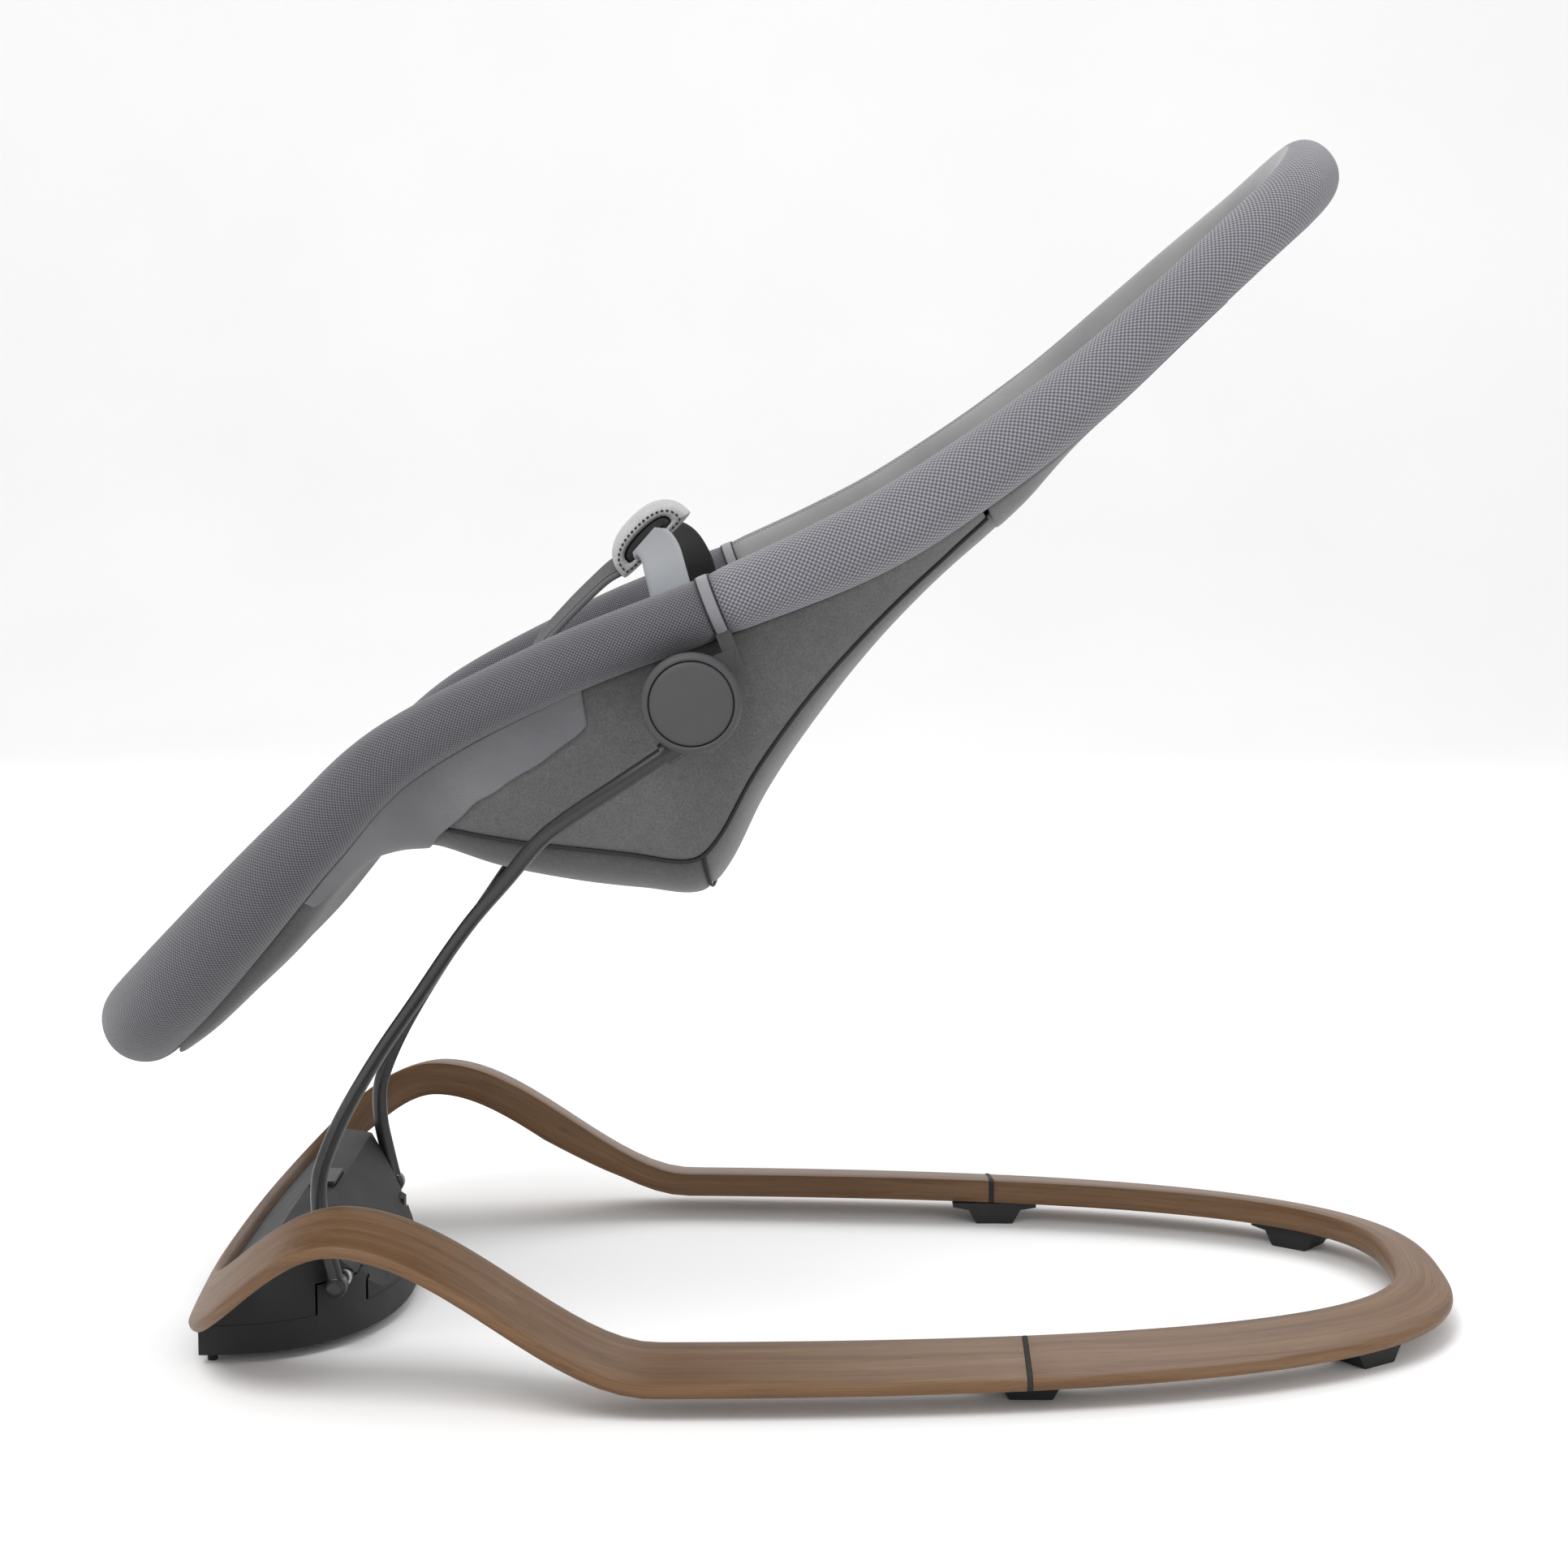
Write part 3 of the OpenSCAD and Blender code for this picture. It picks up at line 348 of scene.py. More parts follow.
def walnut(name):
    """Oiled walnut: long grain that follows the rail, with pores and slow colour change."""
    look = Look(name, Specular_IOR_Level=0.35)
    along = look.node("Attribute", {"attribute_name": "grain"}).outputs["Vector"]
    warp = look.node("TexNoise", Vector=look.scaled(along, (5, 5, 5)), Scale=1.0, Detail=2.0)
    bent = look.node("VectorMath", {"operation": "MULTIPLY_ADD"})
    look.set(bent, {0: warp.outputs["Color"], 1: (0.0, 0.012, 0.012), 2: along})
    bands = look.noise(look.scaled(bent.outputs[0], (2.6, 140, 140)), 1, 4, 0.55)
    fibre = look.noise(look.scaled(bent.outputs[0], (16, 1000, 1000)), 1, 3, 0.6)
    pores = look.noise(look.scaled(along, (60, 1500, 1500)), 1, 1)
    slow = look.noise(look.scaled(along, (3, 14, 14)), 1, 2)
    tone = look.ramp(bands, [(0.25, (0.102, 0.05, 0.02)), (0.45, (0.147, 0.076, 0.033)),
                             (0.62, (0.185, 0.102, 0.049)), (0.8, (0.126, 0.065, 0.028))])
    tone = look.multiply(0.75, tone, look.ramp(fibre, [(0.32, 0.74), (0.62, 1.0)]))
    tone = look.multiply(0.7, tone, look.ramp(pores, [(0.24, 0.42), (0.34, 1.0)]))
    tone = look.multiply(0.5, tone, look.ramp(slow, [(0.3, (0.75, 0.7, 0.66)), (0.7, (1.0, 1.0, 1.0))]))
    rough = look.levels(fibre, 0.55, 0.4)
    normal = look.bump(pores, 0.12, 0.5, look.bump(fibre, 0.1, 0.4))
    return look.finish(Base_Color=tone, Roughness=rough, Normal=normal)


def dotted_knit(name, low, high, pitch_u, pitch_v, depth):
    """Spacer knit with raised dots: painted shade makes it darker in the hollows, and a painted highlight
    makes it lighter on the dots.
    """
    look = Look(name, Sheen_Weight=0.25, Sheen_Roughness=0.5, Specular_IOR_Level=0.2)
    cloth = look.cloth()
    dots = waves(look, cloth, pitch_u, pitch_v)
    yarn = look.noise(cloth, 2200, 2)
    slow = look.noise(look.place(), 22, 3)
    # Painted shade in the hollows and a painted highlight on the dots, taken from the dots' height
    tone = look.ramp(dots, [(0.3, low), (0.8, high)])
    tone = look.multiply(0.35, tone, look.ramp(yarn, [(0.3, 0.6), (0.7, 1.0)]))
    tone = look.multiply(0.3, tone, look.ramp(slow, [(0.3, 0.8), (0.7, 1.0)]))
    normal = look.bump(dots, depth, 0.9, look.bump(yarn, 0.12, 0.5))
    return look.finish(Base_Color=tone, Roughness=look.levels(yarn, 0.82, 0.95), Normal=normal)


def felt_look(name, dark, light):
    """Melange felt: speckled short fibres with soft fuzz."""
    look = Look(name, Sheen_Weight=0.3, Sheen_Roughness=0.6, Specular_IOR_Level=0.15)
    place = look.place()
    specks = look.noise(place, 900, 3, 0.7)
    patches = look.noise(place, 130, 3, 0.6)
    slow = look.noise(place, 16, 3)
    tone = look.ramp(specks, [(0.34, dark), (0.66, light)])
    tone = look.multiply(0.4, tone, look.ramp(patches, [(0.3, 0.66), (0.7, 1.0)]))
    tone = look.multiply(0.4, tone, look.ramp(slow, [(0.3, 0.78), (0.7, 1.0)]))
    normal = look.bump(specks, 0.16, 0.5, look.bump(patches, 0.4, 0.3))
    return look.finish(Base_Color=tone, Roughness=look.levels(specks, 0.85, 0.98), Normal=normal)


def jersey(name, dark, light, pitch=0.9):
    """Smooth fine jersey with faint wales."""
    look = Look(name, Sheen_Weight=0.2, Sheen_Roughness=0.5, Specular_IOR_Level=0.2)
    cloth = look.cloth()
    wales = waves(look, cloth, pitch, pitch * 1.6)
    yarn = look.noise(cloth, 1800, 2)
    slow = look.noise(look.place(), 20, 3)
    tone = look.ramp(slow, [(0.3, dark), (0.7, light)])
    tone = look.multiply(0.3, tone, look.ramp(yarn, [(0.3, 0.7), (0.7, 1.0)]))
    normal = look.bump(wales, 0.12, 0.5, look.bump(yarn, 0.08, 0.4))
    return look.finish(Base_Color=tone, Roughness=look.levels(yarn, 0.8, 0.92), Normal=normal)


def webbing_look(name, dark, light):
    """Woven tape: ribs across, fine warp threads along, slightly shiny."""
    look = Look(name, Sheen_Weight=0.15, Specular_IOR_Level=0.35)
    cloth = look.cloth()
    ribs = waves(look, cloth, 1.5, 1.1)
    yarn = look.noise(look.scaled(cloth, (1, 3, 1)), 900, 2)
    tone = look.ramp(yarn, [(0.3, dark), (0.7, light)])
    # Painted shade between the ribs: the colour is darker where the ribs are low
    tone = look.multiply(0.35, tone, look.ramp(ribs, [(0.0, 0.7), (0.7, 1.0)]))
    normal = look.bump(ribs, 0.22, 0.7)
    return look.finish(Base_Color=tone, Roughness=look.levels(yarn, 0.55, 0.75), Normal=normal)


def thread_look(name, colour):
    """Stitching thread: twisted, a little shiny."""
    look = Look(name, Specular_IOR_Level=0.3)
    place = look.place()
    twist = look.noise(place, 3000, 2)
    tone = look.ramp(twist, [(0.3, tuple(c * 0.7 for c in colour)), (0.7, colour)])
    rough = look.levels(twist, 0.6, 0.8)
    return look.finish(Base_Color=tone, Roughness=rough, Normal=look.bump(twist, 0.05, 0.5))


WALNUT = walnut("walnut")
HOUSING_PLASTIC = plastic("housing_plastic", (0.014, 0.014, 0.015), (0.02, 0.02, 0.021), 0.6)
HUB_PLASTIC = plastic("hub_plastic", (0.046, 0.046, 0.048), (0.056, 0.056, 0.058), 0.5)
DARK_PLASTIC = plastic("dark_plastic", (0.014, 0.014, 0.015), (0.022, 0.022, 0.023), 0.4)
RUBBER = plastic("rubber", (0.012, 0.012, 0.013), (0.02, 0.02, 0.021), 0.75)
TUBE_PAINT = tube_paint("painted_tube")
STEEL = bright_steel("steel")
KNIT_ROW, FINE_KNIT_ROW = 2.6, 2.0
KNIT_LIGHT = dotted_knit("knit_light", (0.09, 0.09, 0.102), (0.29, 0.29, 0.32), 2.5, KNIT_ROW, 0.8)
KNIT_DARK = dotted_knit("knit_dark", (0.045, 0.044, 0.051), (0.155, 0.15, 0.168), 1.8, FINE_KNIT_ROW, 0.4)
LINING = jersey("rim_lining", (0.2, 0.2, 0.202), (0.25, 0.25, 0.25), 1.1)
BAND = jersey("band_fabric", (0.19, 0.19, 0.205), (0.24, 0.24, 0.255))
FELT = felt_look("felt", (0.072, 0.072, 0.073), (0.112, 0.112, 0.111))
# The same felt made darker with painted shade, for the panels that face down: the pod's bottom and the calf
# panel
FELT_PAINTED_SHADE = felt_look("felt_painted_shade", (0.046, 0.046, 0.047), (0.076, 0.076, 0.076))
SMOOTH_KNIT = jersey("smooth_knit", (0.125, 0.125, 0.135), (0.165, 0.165, 0.175))
SLING = jersey("sling_fabric", (0.3, 0.3, 0.296), (0.36, 0.36, 0.353), 1.1)
COVER = felt_look("cover_fabric", (0.26, 0.26, 0.258), (0.4, 0.4, 0.395))
STRAP_BLACK = webbing_look("webbing_black", (0.007, 0.007, 0.008), (0.015, 0.015, 0.016))
STRAP_GREY = webbing_look("webbing_grey", (0.15, 0.158, 0.172), (0.19, 0.2, 0.216))
STRAP_EDGE = webbing_look("webbing_edge", (0.07, 0.07, 0.074), (0.12, 0.12, 0.126))
THREAD_DARK = thread_look("thread_dark", (0.02, 0.02, 0.022))
THREAD_GREY = thread_look("thread_grey", (0.2, 0.2, 0.21))


# ---------- Base ring ----------

RING_REAR, RING_FRONT, RING_HALF_W = 351, 292, 210
RING_MID_X, REAR_POWER, FRONT_POWER = -150, 2.75, 3.5
RAIL_W, RAIL_W_REAR, RAIL_W_FRONT = 49, 29, 16
RAIL_T_IN, RAIL_T_OUT = 13.5, 6
FOOT_H, ARCH_H, ARCH_X, FLAT_X = 12, 78, -203, -55
NOSE_Z, NOSE_SLOPE, EDGE_DROP = 13, 0.95, 5.5
JOINT_X, COLLAR_T = 121, 2.4
# Further than either end of the ring, for a rail that isn't cut there
PAST_END = 400
RAIL_AROUND = 130
CUT_ANGLE = 50


def rail_z(x):
    """Height of the wood's lower face along the ring."""
    if x < ARCH_X:
        return NOSE_Z + (ARCH_H - NOSE_Z) * ease((x + RING_FRONT) / (ARCH_X + RING_FRONT), NOSE_SLOPE)
    return FOOT_H + (ARCH_H - FOOT_H) * ease((FLAT_X - x) / (FLAT_X - ARCH_X))


def ring_edge(angle, length, half_w, power):
    c, s = math.cos(angle), math.sin(angle)
    x = RING_MID_X + length * signed_power(c, 2 / power)
    return np.array([x, half_w * signed_power(s, 2 / power), rail_z(x)])


def rail_edges(angle):
    """Inner and outer edge of the rail at an angle round the ring."""
    rear = math.cos(angle) >= 0
    power = REAR_POWER if rear else FRONT_POWER
    length = RING_REAR - RING_MID_X if rear else RING_FRONT + RING_MID_X
    narrow = RAIL_W_REAR if rear else RAIL_W_FRONT
    inner = ring_edge(angle, length - narrow, RING_HALF_W - RAIL_W, power)
    return inner, ring_edge(angle, length, RING_HALF_W, power)


def rail_section(w, drop):
    """Wedge section of the rail as (distance from the inner edge, height), with rounded corners."""
    corners = [(0, 4 - drop), (1, 1.2 - drop), (3.5, -drop), (w / 2, -drop / 3), (w - 3, 0), (w - 0.8, 0.9),
               (w, 2.8), (w - 0.8, RAIL_T_OUT - 1), (w - 3.5, RAIL_T_OUT + 0.4),
               (w / 2, (RAIL_T_OUT + RAIL_T_IN) / 2 + 0.6), (4, RAIL_T_IN - 0.1), (1.2, RAIL_T_IN - 1.4),
               (0, RAIL_T_IN - 4)]
    loop = [corners[-1], *corners, corners[0], corners[1]]
    return [catmull(loop, 1 + j / 2) for j in range(2 * len(corners))]


def ring_angles():
    """Angles round the ring, closer together where it bends."""
    quarter = [i / 72 for i in range(72)]
    even = [math.pi / 2 * u**1.5 / (u**1.5 + (1 - u) ** 1.5) for u in quarter]
    half = even + [math.pi / 2] + [math.pi - a for a in reversed(even)]
    return half + [2 * math.pi - a for a in reversed(half[1:-1])]


def ring_rows():
    edges = [rail_edges(a) for a in ring_angles()]
    mids = np.array([(a + b) / 2 for a, b in edges])
    rows = []
    for i, (inner, outer) in enumerate(edges):
        side = unit(outer - inner)
        ahead = unit(mids[(i + 1) % len(mids)] - mids[i - 1])
        up = unit(np.cross(side, ahead))
        x = mids[i][0]
        drop = EDGE_DROP * np.clip((FLAT_X - 35 - x) / 45, 0, 1) * np.clip((x + RING_FRONT) / 50, 0, 1)
        width = np.linalg.norm(outer - inner)
        rows.append([inner + side * s[0] + up * s[1] for s in rail_section(width, drop)])
    return np.array(rows)


def cut_ring(rows, low, high):
    """Rows of the ring between two planes across X; the rows at the cuts are moved onto them."""
    mids = rows.mean(axis=1)
    inside = [low <= m[0] <= high for m in mids]
    n = len(rows)
    start = next(i for i in range(n) if inside[i] and not inside[i - 1])
    order = [(start + k) % n for k in range(n) if inside[(start + k) % n]]
    before, after = rows[order[0] - 1], rows[(order[-1] + 1) % n]

    def slide(a, b):
        plane = low if b.mean(axis=0)[0] < low else high
        share = (plane - a[:, 0]) / (b[:, 0] - a[:, 0])
        return a + (b - a) * share[:, None]

    between = [rows[i] for i in order[1:-1]]
    return np.array([slide(rows[order[0]], before), *between, slide(rows[order[-1]], after)])


def wood_rail(name, low, high):
    rows = cut_ring(ring_rows(), low, high)
    mesh = tube_mesh(name, rows, RAIL_AROUND)
    grain = mesh.attributes.new("grain", "FLOAT_VECTOR", "POINT")
    along = lengths_along(rows.mean(axis=1))
    values = []
    for i, row in enumerate(rows):
        inner, outer = row[0], row[10]
        across = unit(outer - inner)
        lowest = row[:, 2].min()
        values += [[along[i] * MM, np.dot(p - inner, across) * MM, (p[2] - lowest) * MM] for p in row]
    grain.data.foreach_set("vector", np.array(values, np.float32).ravel())
    piece = new_piece(name, mesh, WALNUT, "base")
    add_modifier(piece, "BEVEL", width=0.8 * MM, segments=2, limit_method="ANGLE",
                 angle_limit=math.radians(CUT_ANGLE))
    return piece


def build_base():
    front = wood_rail("front_rail_wood", -PAST_END, JOINT_X - COLLAR_T / 2)
    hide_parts("wood_rail_front", "joint_spigot_left", "joint_spigot_right")
    rear = wood_rail("rear_rail_wood", JOINT_X + COLLAR_T / 2, PAST_END)
    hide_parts("wood_rail_rear")


# ---------- Legs and hubs ----------

HUB = (-36, 192, 336)
HUB_R, BUTTON_R = 23, 19.3
LEG_LINE = [
    [-218, 103.5, 35], [-222, 104.5, 52], [-225.5, 104.5, 70], [-226, 104, 86], [-223.5, 103.5, 98],
    [-216, 105, 116], [-205, 112, 136], [-190, 123, 160], [-172, 137, 186], [-155, 149, 211],
    [-141, 160, 230], [-125, 170, 249], [-110, 178, 267], [-96, 186, 279.5], [-72, 191, 296],
    [-46, 192, 313.5]
]
# Radius of the leg along its line: row of LEG_LINE, radius
LEG_RADII = [[0, 4.2], [3, 4.1], [5, 3.9], [7, 3.5], [10, 3.4], [12, 3.8], [15, 3.8]]


def build_leg(word, side):
    steps = np.arange(0, len(LEG_LINE) - 1 + 0.01, 0.125)
    line = [catmull(LEG_LINE, t) * (1, side, 1) for t in steps]
    radii = [curve_at(LEG_RADII, t)[0] for t in steps]
    rows = round_rows(np.array(line), radii, 24, up=(0, 1, 0))
    mesh = tube_mesh(f"leg_{word}_tube", rows, 24)
    leg = new_piece(f"leg_{word}_tube", mesh, TUBE_PAINT, "legs")
    eye_profile = [(2.6, 98.8), (4.6, 98.8), (5.2, 99.6), (5.2, 107.4), (4.6, 108.2), (2.6, 108.2)]
    eye = revolve_mesh(f"leg_{word}_eye", eye_profile, LEG_LINE[0], side, 48)
    new_piece(f"leg_{word}_eye", eye, TUBE_PAINT, "legs")
    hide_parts(f"leg_tube_{word}")


def build_hub(word, side):
    ring_profile = [(19.7, 198.2), (HUB_R - 0.4, 198.2), (HUB_R, 199), (HUB_R, 203.4), (22.6, 205.2),
                    (21.6, 206.5), (20.6, 206.9), (20, 206.8), (19.7, 206.4), (19.7, 204)]
    mesh = revolve_mesh(f"hub_ring_{word}", ring_profile, HUB, side, 128)
    ring = new_piece(f"hub_ring_{word}", mesh, HUB_PLASTIC, "legs")
    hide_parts(f"hub_rim_{word}")
    disc_profile = [(4, 203.4), (BUTTON_R - 0.5, 203.4), (BUTTON_R, 203.9), (BUTTON_R, 205.8),
                    (BUTTON_R - 0.7, 206.5), (16, 206.7), (8, 206.85), (0.01, 206.9)]
    mesh = revolve_mesh(f"recline_disc_{word}", disc_profile, HUB, side, 128)
    disc = new_piece(f"recline_disc_{word}", mesh, HUB_PLASTIC, f"recline_button_{word}")
    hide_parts(f"recline_button_{word}")


# ---------- Seat rim ----------

RIM = [
    [-329, 152, 0, 22], [-322, 160, 48, 22], [-298, 184, 84, 22], [-262, 222, 112, 20.5],
    [-222, 265, 134, 17.5], [-178, 307, 152, 15], [-100, 349, 171, 14], [-27, 378, 175, 15],
    [40, 406, 171, 16.5], [91, 437, 165, 16.5], [141, 474, 155, 15.5], [184, 512, 140, 14.5],
    [220, 544, 117, 14.5], [247, 567, 84, 15], [261, 580, 44, 16], [265, 584, 0, 16.5]
]
HUB_ROW, LAST_ROW = 7, len(RIM) - 1
# The lining covers the pad between these angles, measured up from the side that faces the child
LINING_LOW, LINING_HIGH = -100, 62
MIRROR = np.array([1, 1, -1, 1])
RIM_ALL = [RIM[1] * MIRROR, *RIM, RIM[LAST_ROW - 1] * MIRROR]
PAD_GAP_U = 0.045
STEPS_PER_ROW, PAD_SIDES = 10, 48
# How much a pad is pulled in at its ends, and over about what length
END_PULL, END_REACH = 0.5, 2.5
# The crown grows to its full height over this length from the pad's ends
CROWN_REACH = 60
PAD_RIPPLE = 0.5


def rim(u):
    """Rim row [x, z, half-width, radius] at u, from 0 at the foot to LAST_ROW at the head."""
    return catmull(RIM_ALL, u + 1)


def rim_point(u, side):
    x, z, w, _ = rim(u)
    return np.array([x, side * w, z])


def rim_down(u):
    """Unit vector across the rim in side view, pointing down and back."""
    x, z = unit((rim(u + 0.05) - rim(u - 0.05))[:2])
    return np.array([z, -x])


def loop_steps(u_hub, u_end):
    """Rim parameters with their sides, from the left hub round one end to the right hub."""
    count = round(abs(u_end - u_hub) * STEPS_PER_ROW)
    there = [(u_hub + (u_end - u_hub) * i / count, LEFT) for i in range(count + 1)]
    return there + [(u, RIGHT) for u, _ in reversed(there[:-1])]


def build_rim_pad(word, end, material, pitch_v, crown, lining=None):
    """One half of the padded rim, a soft tube that is pulled in a little where it ends at the bands.

    Its upper inner side, which faces the child, stands crown millimetres fuller than a circle and may
    have a lining of its own."""
    gap = PAD_GAP_U if end > HUB_ROW else -PAD_GAP_U
    stations = loop_steps(HUB_ROW + gap, end)
    path = np.array([rim_point(u, side) for u, side in stations])
    far = lengths_along(path)
    from_end = np.minimum(far, far[-1] - far)
    angles = np.arange(PAD_SIDES) * 2 * math.pi / PAD_SIDES
    frames = frames_along(path, (0, 0, 1))
    rows = []
    for (u, _), point, distance, (side, high) in zip(stations, path, from_end, frames):
        radius = rim(u)[3] - END_PULL * math.exp(-distance / END_REACH)
        row = []
        for a in angles:
            ripple = noise.noise(Vector((distance * 0.012, math.cos(a) * 0.9, math.sin(a) * 0.9 + end)))
            way = math.cos(a) * side + math.sin(a) * high
            inward = -point[1] / max(abs(point[1]), 60) * 0.35
            full = crown * max(0.0, way[1] * inward + way[2]) ** 4 * min(1, distance / CROWN_REACH)
            row.append(point + (radius + full + PAD_RIPPLE * ripple) * way)
        rows.append(row)
    around = round(2 * math.pi * 16 / pitch_v) * pitch_v
    name = f"rim_pad_{word}_soft"
    pad = new_piece(name, tube_mesh(name, rows, around), material, "seat")
    if lining:
        pad.data.materials.append(lining)
        inward = 1 if np.dot(frames[0][0], path.mean(axis=0) - path[0]) > 0 else -1
        for face in list(pad.data.polygons)[:(len(rows) - 1) * PAD_SIDES]:
            a = 2 * math.pi * (face.index % PAD_SIDES + 0.5) / PAD_SIDES
            lift = math.degrees(math.atan2(math.sin(a), inward * math.cos(a)))
            face.material_index = int(LINING_LOW < lift < LINING_HIGH)
    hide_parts(f"rim_pad_{word}")


def build_band(word, side):
    """Flush ribbon round the rim at the hub, with a thin dark thread at each edge."""
    centre = rim_point(HUB_ROW, side)
    ahead = unit(rim_point(HUB_ROW + 0.05, side) - rim_point(HUB_ROW - 0.05, side))
    across = unit(np.cross((0, 0, 1), ahead))
    high = np.cross(ahead, across)
    half = [(2.9, 9.5), (2.9, 14.6), (2.6, 15.1), (1.9, 15.35)]
    profile = [(-s, radius) for s, radius in half] + [(0, 15.4)] + half[::-1]
    angles = np.arange(72) * 2 * math.pi / 72
    rows = [[centre + ahead * s + radius * (math.cos(a) * across + math.sin(a) * high) for a in angles]
            for s, radius in profile]
    name = f"rim_ribbon_{word}"
    band = new_piece(name, tube_mesh(name, rows, 96), BAND, "seat")
    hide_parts(f"rim_band_{word}")
    for number, s in enumerate((-3.1, 3.1)):
        line = [centre + ahead * s + 14.9 * (math.cos(a) * across + math.sin(a) * high)
                for a in np.linspace(0, 2 * math.pi, 97)]
        round_tube(f"ribbon_edge_{word}_{number}", line, 0.4, THREAD_DARK, "seat",
                   up=ahead, sides=8)


def stitch(name, line, radius, pitch, material, body, share=0.72):
    """Row of short thread stitches along a line, as one piece."""
    line = np.asarray(line, float)
    far = lengths_along(line)
    count = max(2, int(far[-1] / pitch))
    points, faces = [], []
    sides, rows = 6, 5
    for i in range(count):
        start = i * pitch
        at = [start + pitch * share * j / (rows - 1) for j in range(rows)]
        path = np.array([[np.interp(a, far, line[:, k]) for k in range(3)] for a in at])
        ahead = unit(path[-1] - path[0])
        side = unit(np.cross(ahead, (0.3, 0.2, 1)))
        high = np.cross(ahead, side)
        base = len(points)
        for j, centre in enumerate(path):
            fat = radius * math.sqrt(max(0.12, 1 - (2 * j / (rows - 1) - 1) ** 2))
            points += [centre + fat * (math.cos(a) * side + math.sin(a) * high)
                       for a in np.arange(sides) * 2 * math.pi / sides]
        for j in range(rows - 1):
            for k in range(sides):
                a, b = base + j * sides + k, base + j * sides + (k + 1) % sides
                faces.append([a, b, b + sides, a + sides])
        faces.append([base + k for k in reversed(range(sides))])
        faces.append([base + (rows - 1) * sides + k for k in range(sides)])
    return new_piece(name, mesh_from(name, points, faces), material, body)


# ---------- Seat fabric ----------

# Lowest line of the outer fabric and of the sling: rim parameter, x, z
UNDER = [
    [0.4, -314, 133.5], [1, -303, 141], [2, -279, 161], [3, -241, 198], [4, -200, 246], [5, -166, 257],
    [5.4, -133, 247.5], [5.8, -98, 240.5], [6.2, -62, 236.5], [6.55, -34, 235], [6.75, -21, 249],
    [7, -5, 282], [7.25, 18, 317], [7.8, 45, 352], [8.2, 75, 384], [8.95, 104, 411], [9.3, 118, 425],
    [9.6, 130, 439], [10.2, 151, 463], [10.8, 182, 496], [11.5, 210, 521]
]
SLING_LINE = [
    [0.6, -316, 164], [1, -314, 166], [2, -288, 188], [3, -250, 221], [4, -210, 262], [5, -168, 292],
    [6, -100, 290], [6.5, -62, 272], [7, -30, 272], [7.5, -2, 306], [8, 26, 350], [9, 73, 408],
    [10, 124, 457], [11, 171, 503], [12, 208, 538], [13, 238, 562], [14.4, 254, 572]
]
FABRIC_POWER, SIDE_TAPER, SLING_POWER = 8, 0.1, 2.2
FELT_T, SLING_T = 1.82, 5
# Flat sizes of the sewn panels in metres, and their areas in square metres
POD_BOTTOM_FLAT = (0.31, 0.16, 0.046)
POD_BACK_FLAT = (0.33, 0.23, 0.071)
# Rim parameters where the panels start and end; the pod's bottom meets its back at CORNER_U
CALF_START_U, CALF_END_U = 0.5, 4.95
SIDE_START_U, SIDE_END_U = 4.55, 8.95
BOTTOM_START_U, CORNER_U, CORNER_GAP_U = 4.8, 6.62, 0.004
BACK_END_U, FLAP_START_U, FLAP_END_U = 9.08, 8.98, 11.5
WING_START_U, WING_END_U = 3.52, 6.08
SLING_START_U, SLING_END_U = 1.3, 13.4
# Angle of the seam between the pod's side and its bottom or back, along the rim
SEAM = [
    [4.4, 9], [5.2, 12], [5.6, 16.5], [6, 20], [6.4, 24.5], [6.62, 26.5], [6.8, 25.5], [7.2, 21.5],
    [7.65, 15.5], [8, 10], [8.35, 6], [8.65, 2.6], [9, 0.6]
]
# How far the fabric overlaps the pad, and how far it stands in from the rim's middle
RIM_LAP, RIM_INSET = 0.4, 2
# Cloth hangs freely this far from a seam, tucks in this near to it, and has wrinkles of this size
SLACK_REACH, TUCK_REACH, WRINKLE_SIZE = 22, 4, 0.02
PIPING_R, SEAM_R = 0.9, 0.7


def hanging_point(top, low, half_w, degrees, power, taper=0.0):
    """Point of a hanging panel: 0 degrees is the left rim and 180 the right rim."""
    s, c = math.sin(math.radians(degrees)), math.cos(math.radians(degrees))
    h = max(s, 0.0) ** (2 / power)
    q = top + (low - top) * h
    return np.array([q[0], -half_w * (1 - taper * h) * signed_power(c, 2 / power), q[1]])


def under_point(u, degrees, inset=0.0):
    """Point of the outer fabric under the seat, moved inwards by inset."""
    x, z, half_w, radius = rim(u)
    d = rim_down(u)
    low = curve_at(UNDER, u)
    top = np.array([x, z]) + d * (radius - RIM_LAP)
    half_w -= RIM_INSET + inset
    return hanging_point(top, low - d * inset, half_w, degrees, FABRIC_POWER, SIDE_TAPER)


def wrinkle(point, size, seed):
    """Slow uneven movement of cloth, from -1 to 1."""
    return noise.noise(Vector(point * size) + Vector((seed, seed * 0.7, 0)))


def normals_of(grid):
    along, across = np.gradient(grid, axis=0), np.gradient(grid, axis=1)
    n = np.cross(across, along)
    return n / np.maximum(np.linalg.norm(n, axis=2, keepdims=True), 1e-9)


def fabric_row(u, start, end, columns):
    """Evenly spaced points across the outer fabric, from one angle to another."""
    depths = np.linspace(0, 0.9, 40)
    side = [math.degrees(math.asin(h ** (FABRIC_POWER / 2))) for h in depths]
    bottom = list(np.linspace(side[-1], 180 - side[-1], 40))[1:-1]
    angles = side + bottom + [180 - a for a in reversed(side)]
    inside = [start, *[a for a in angles if start < a < end], end]
    line = np.array([under_point(u, a) for a in inside])
    far = lengths_along(line)
    at = np.linspace(0, far[-1], columns)
    return np.stack([np.interp(at, far, line[:, k]) for k in range(3)], axis=1)


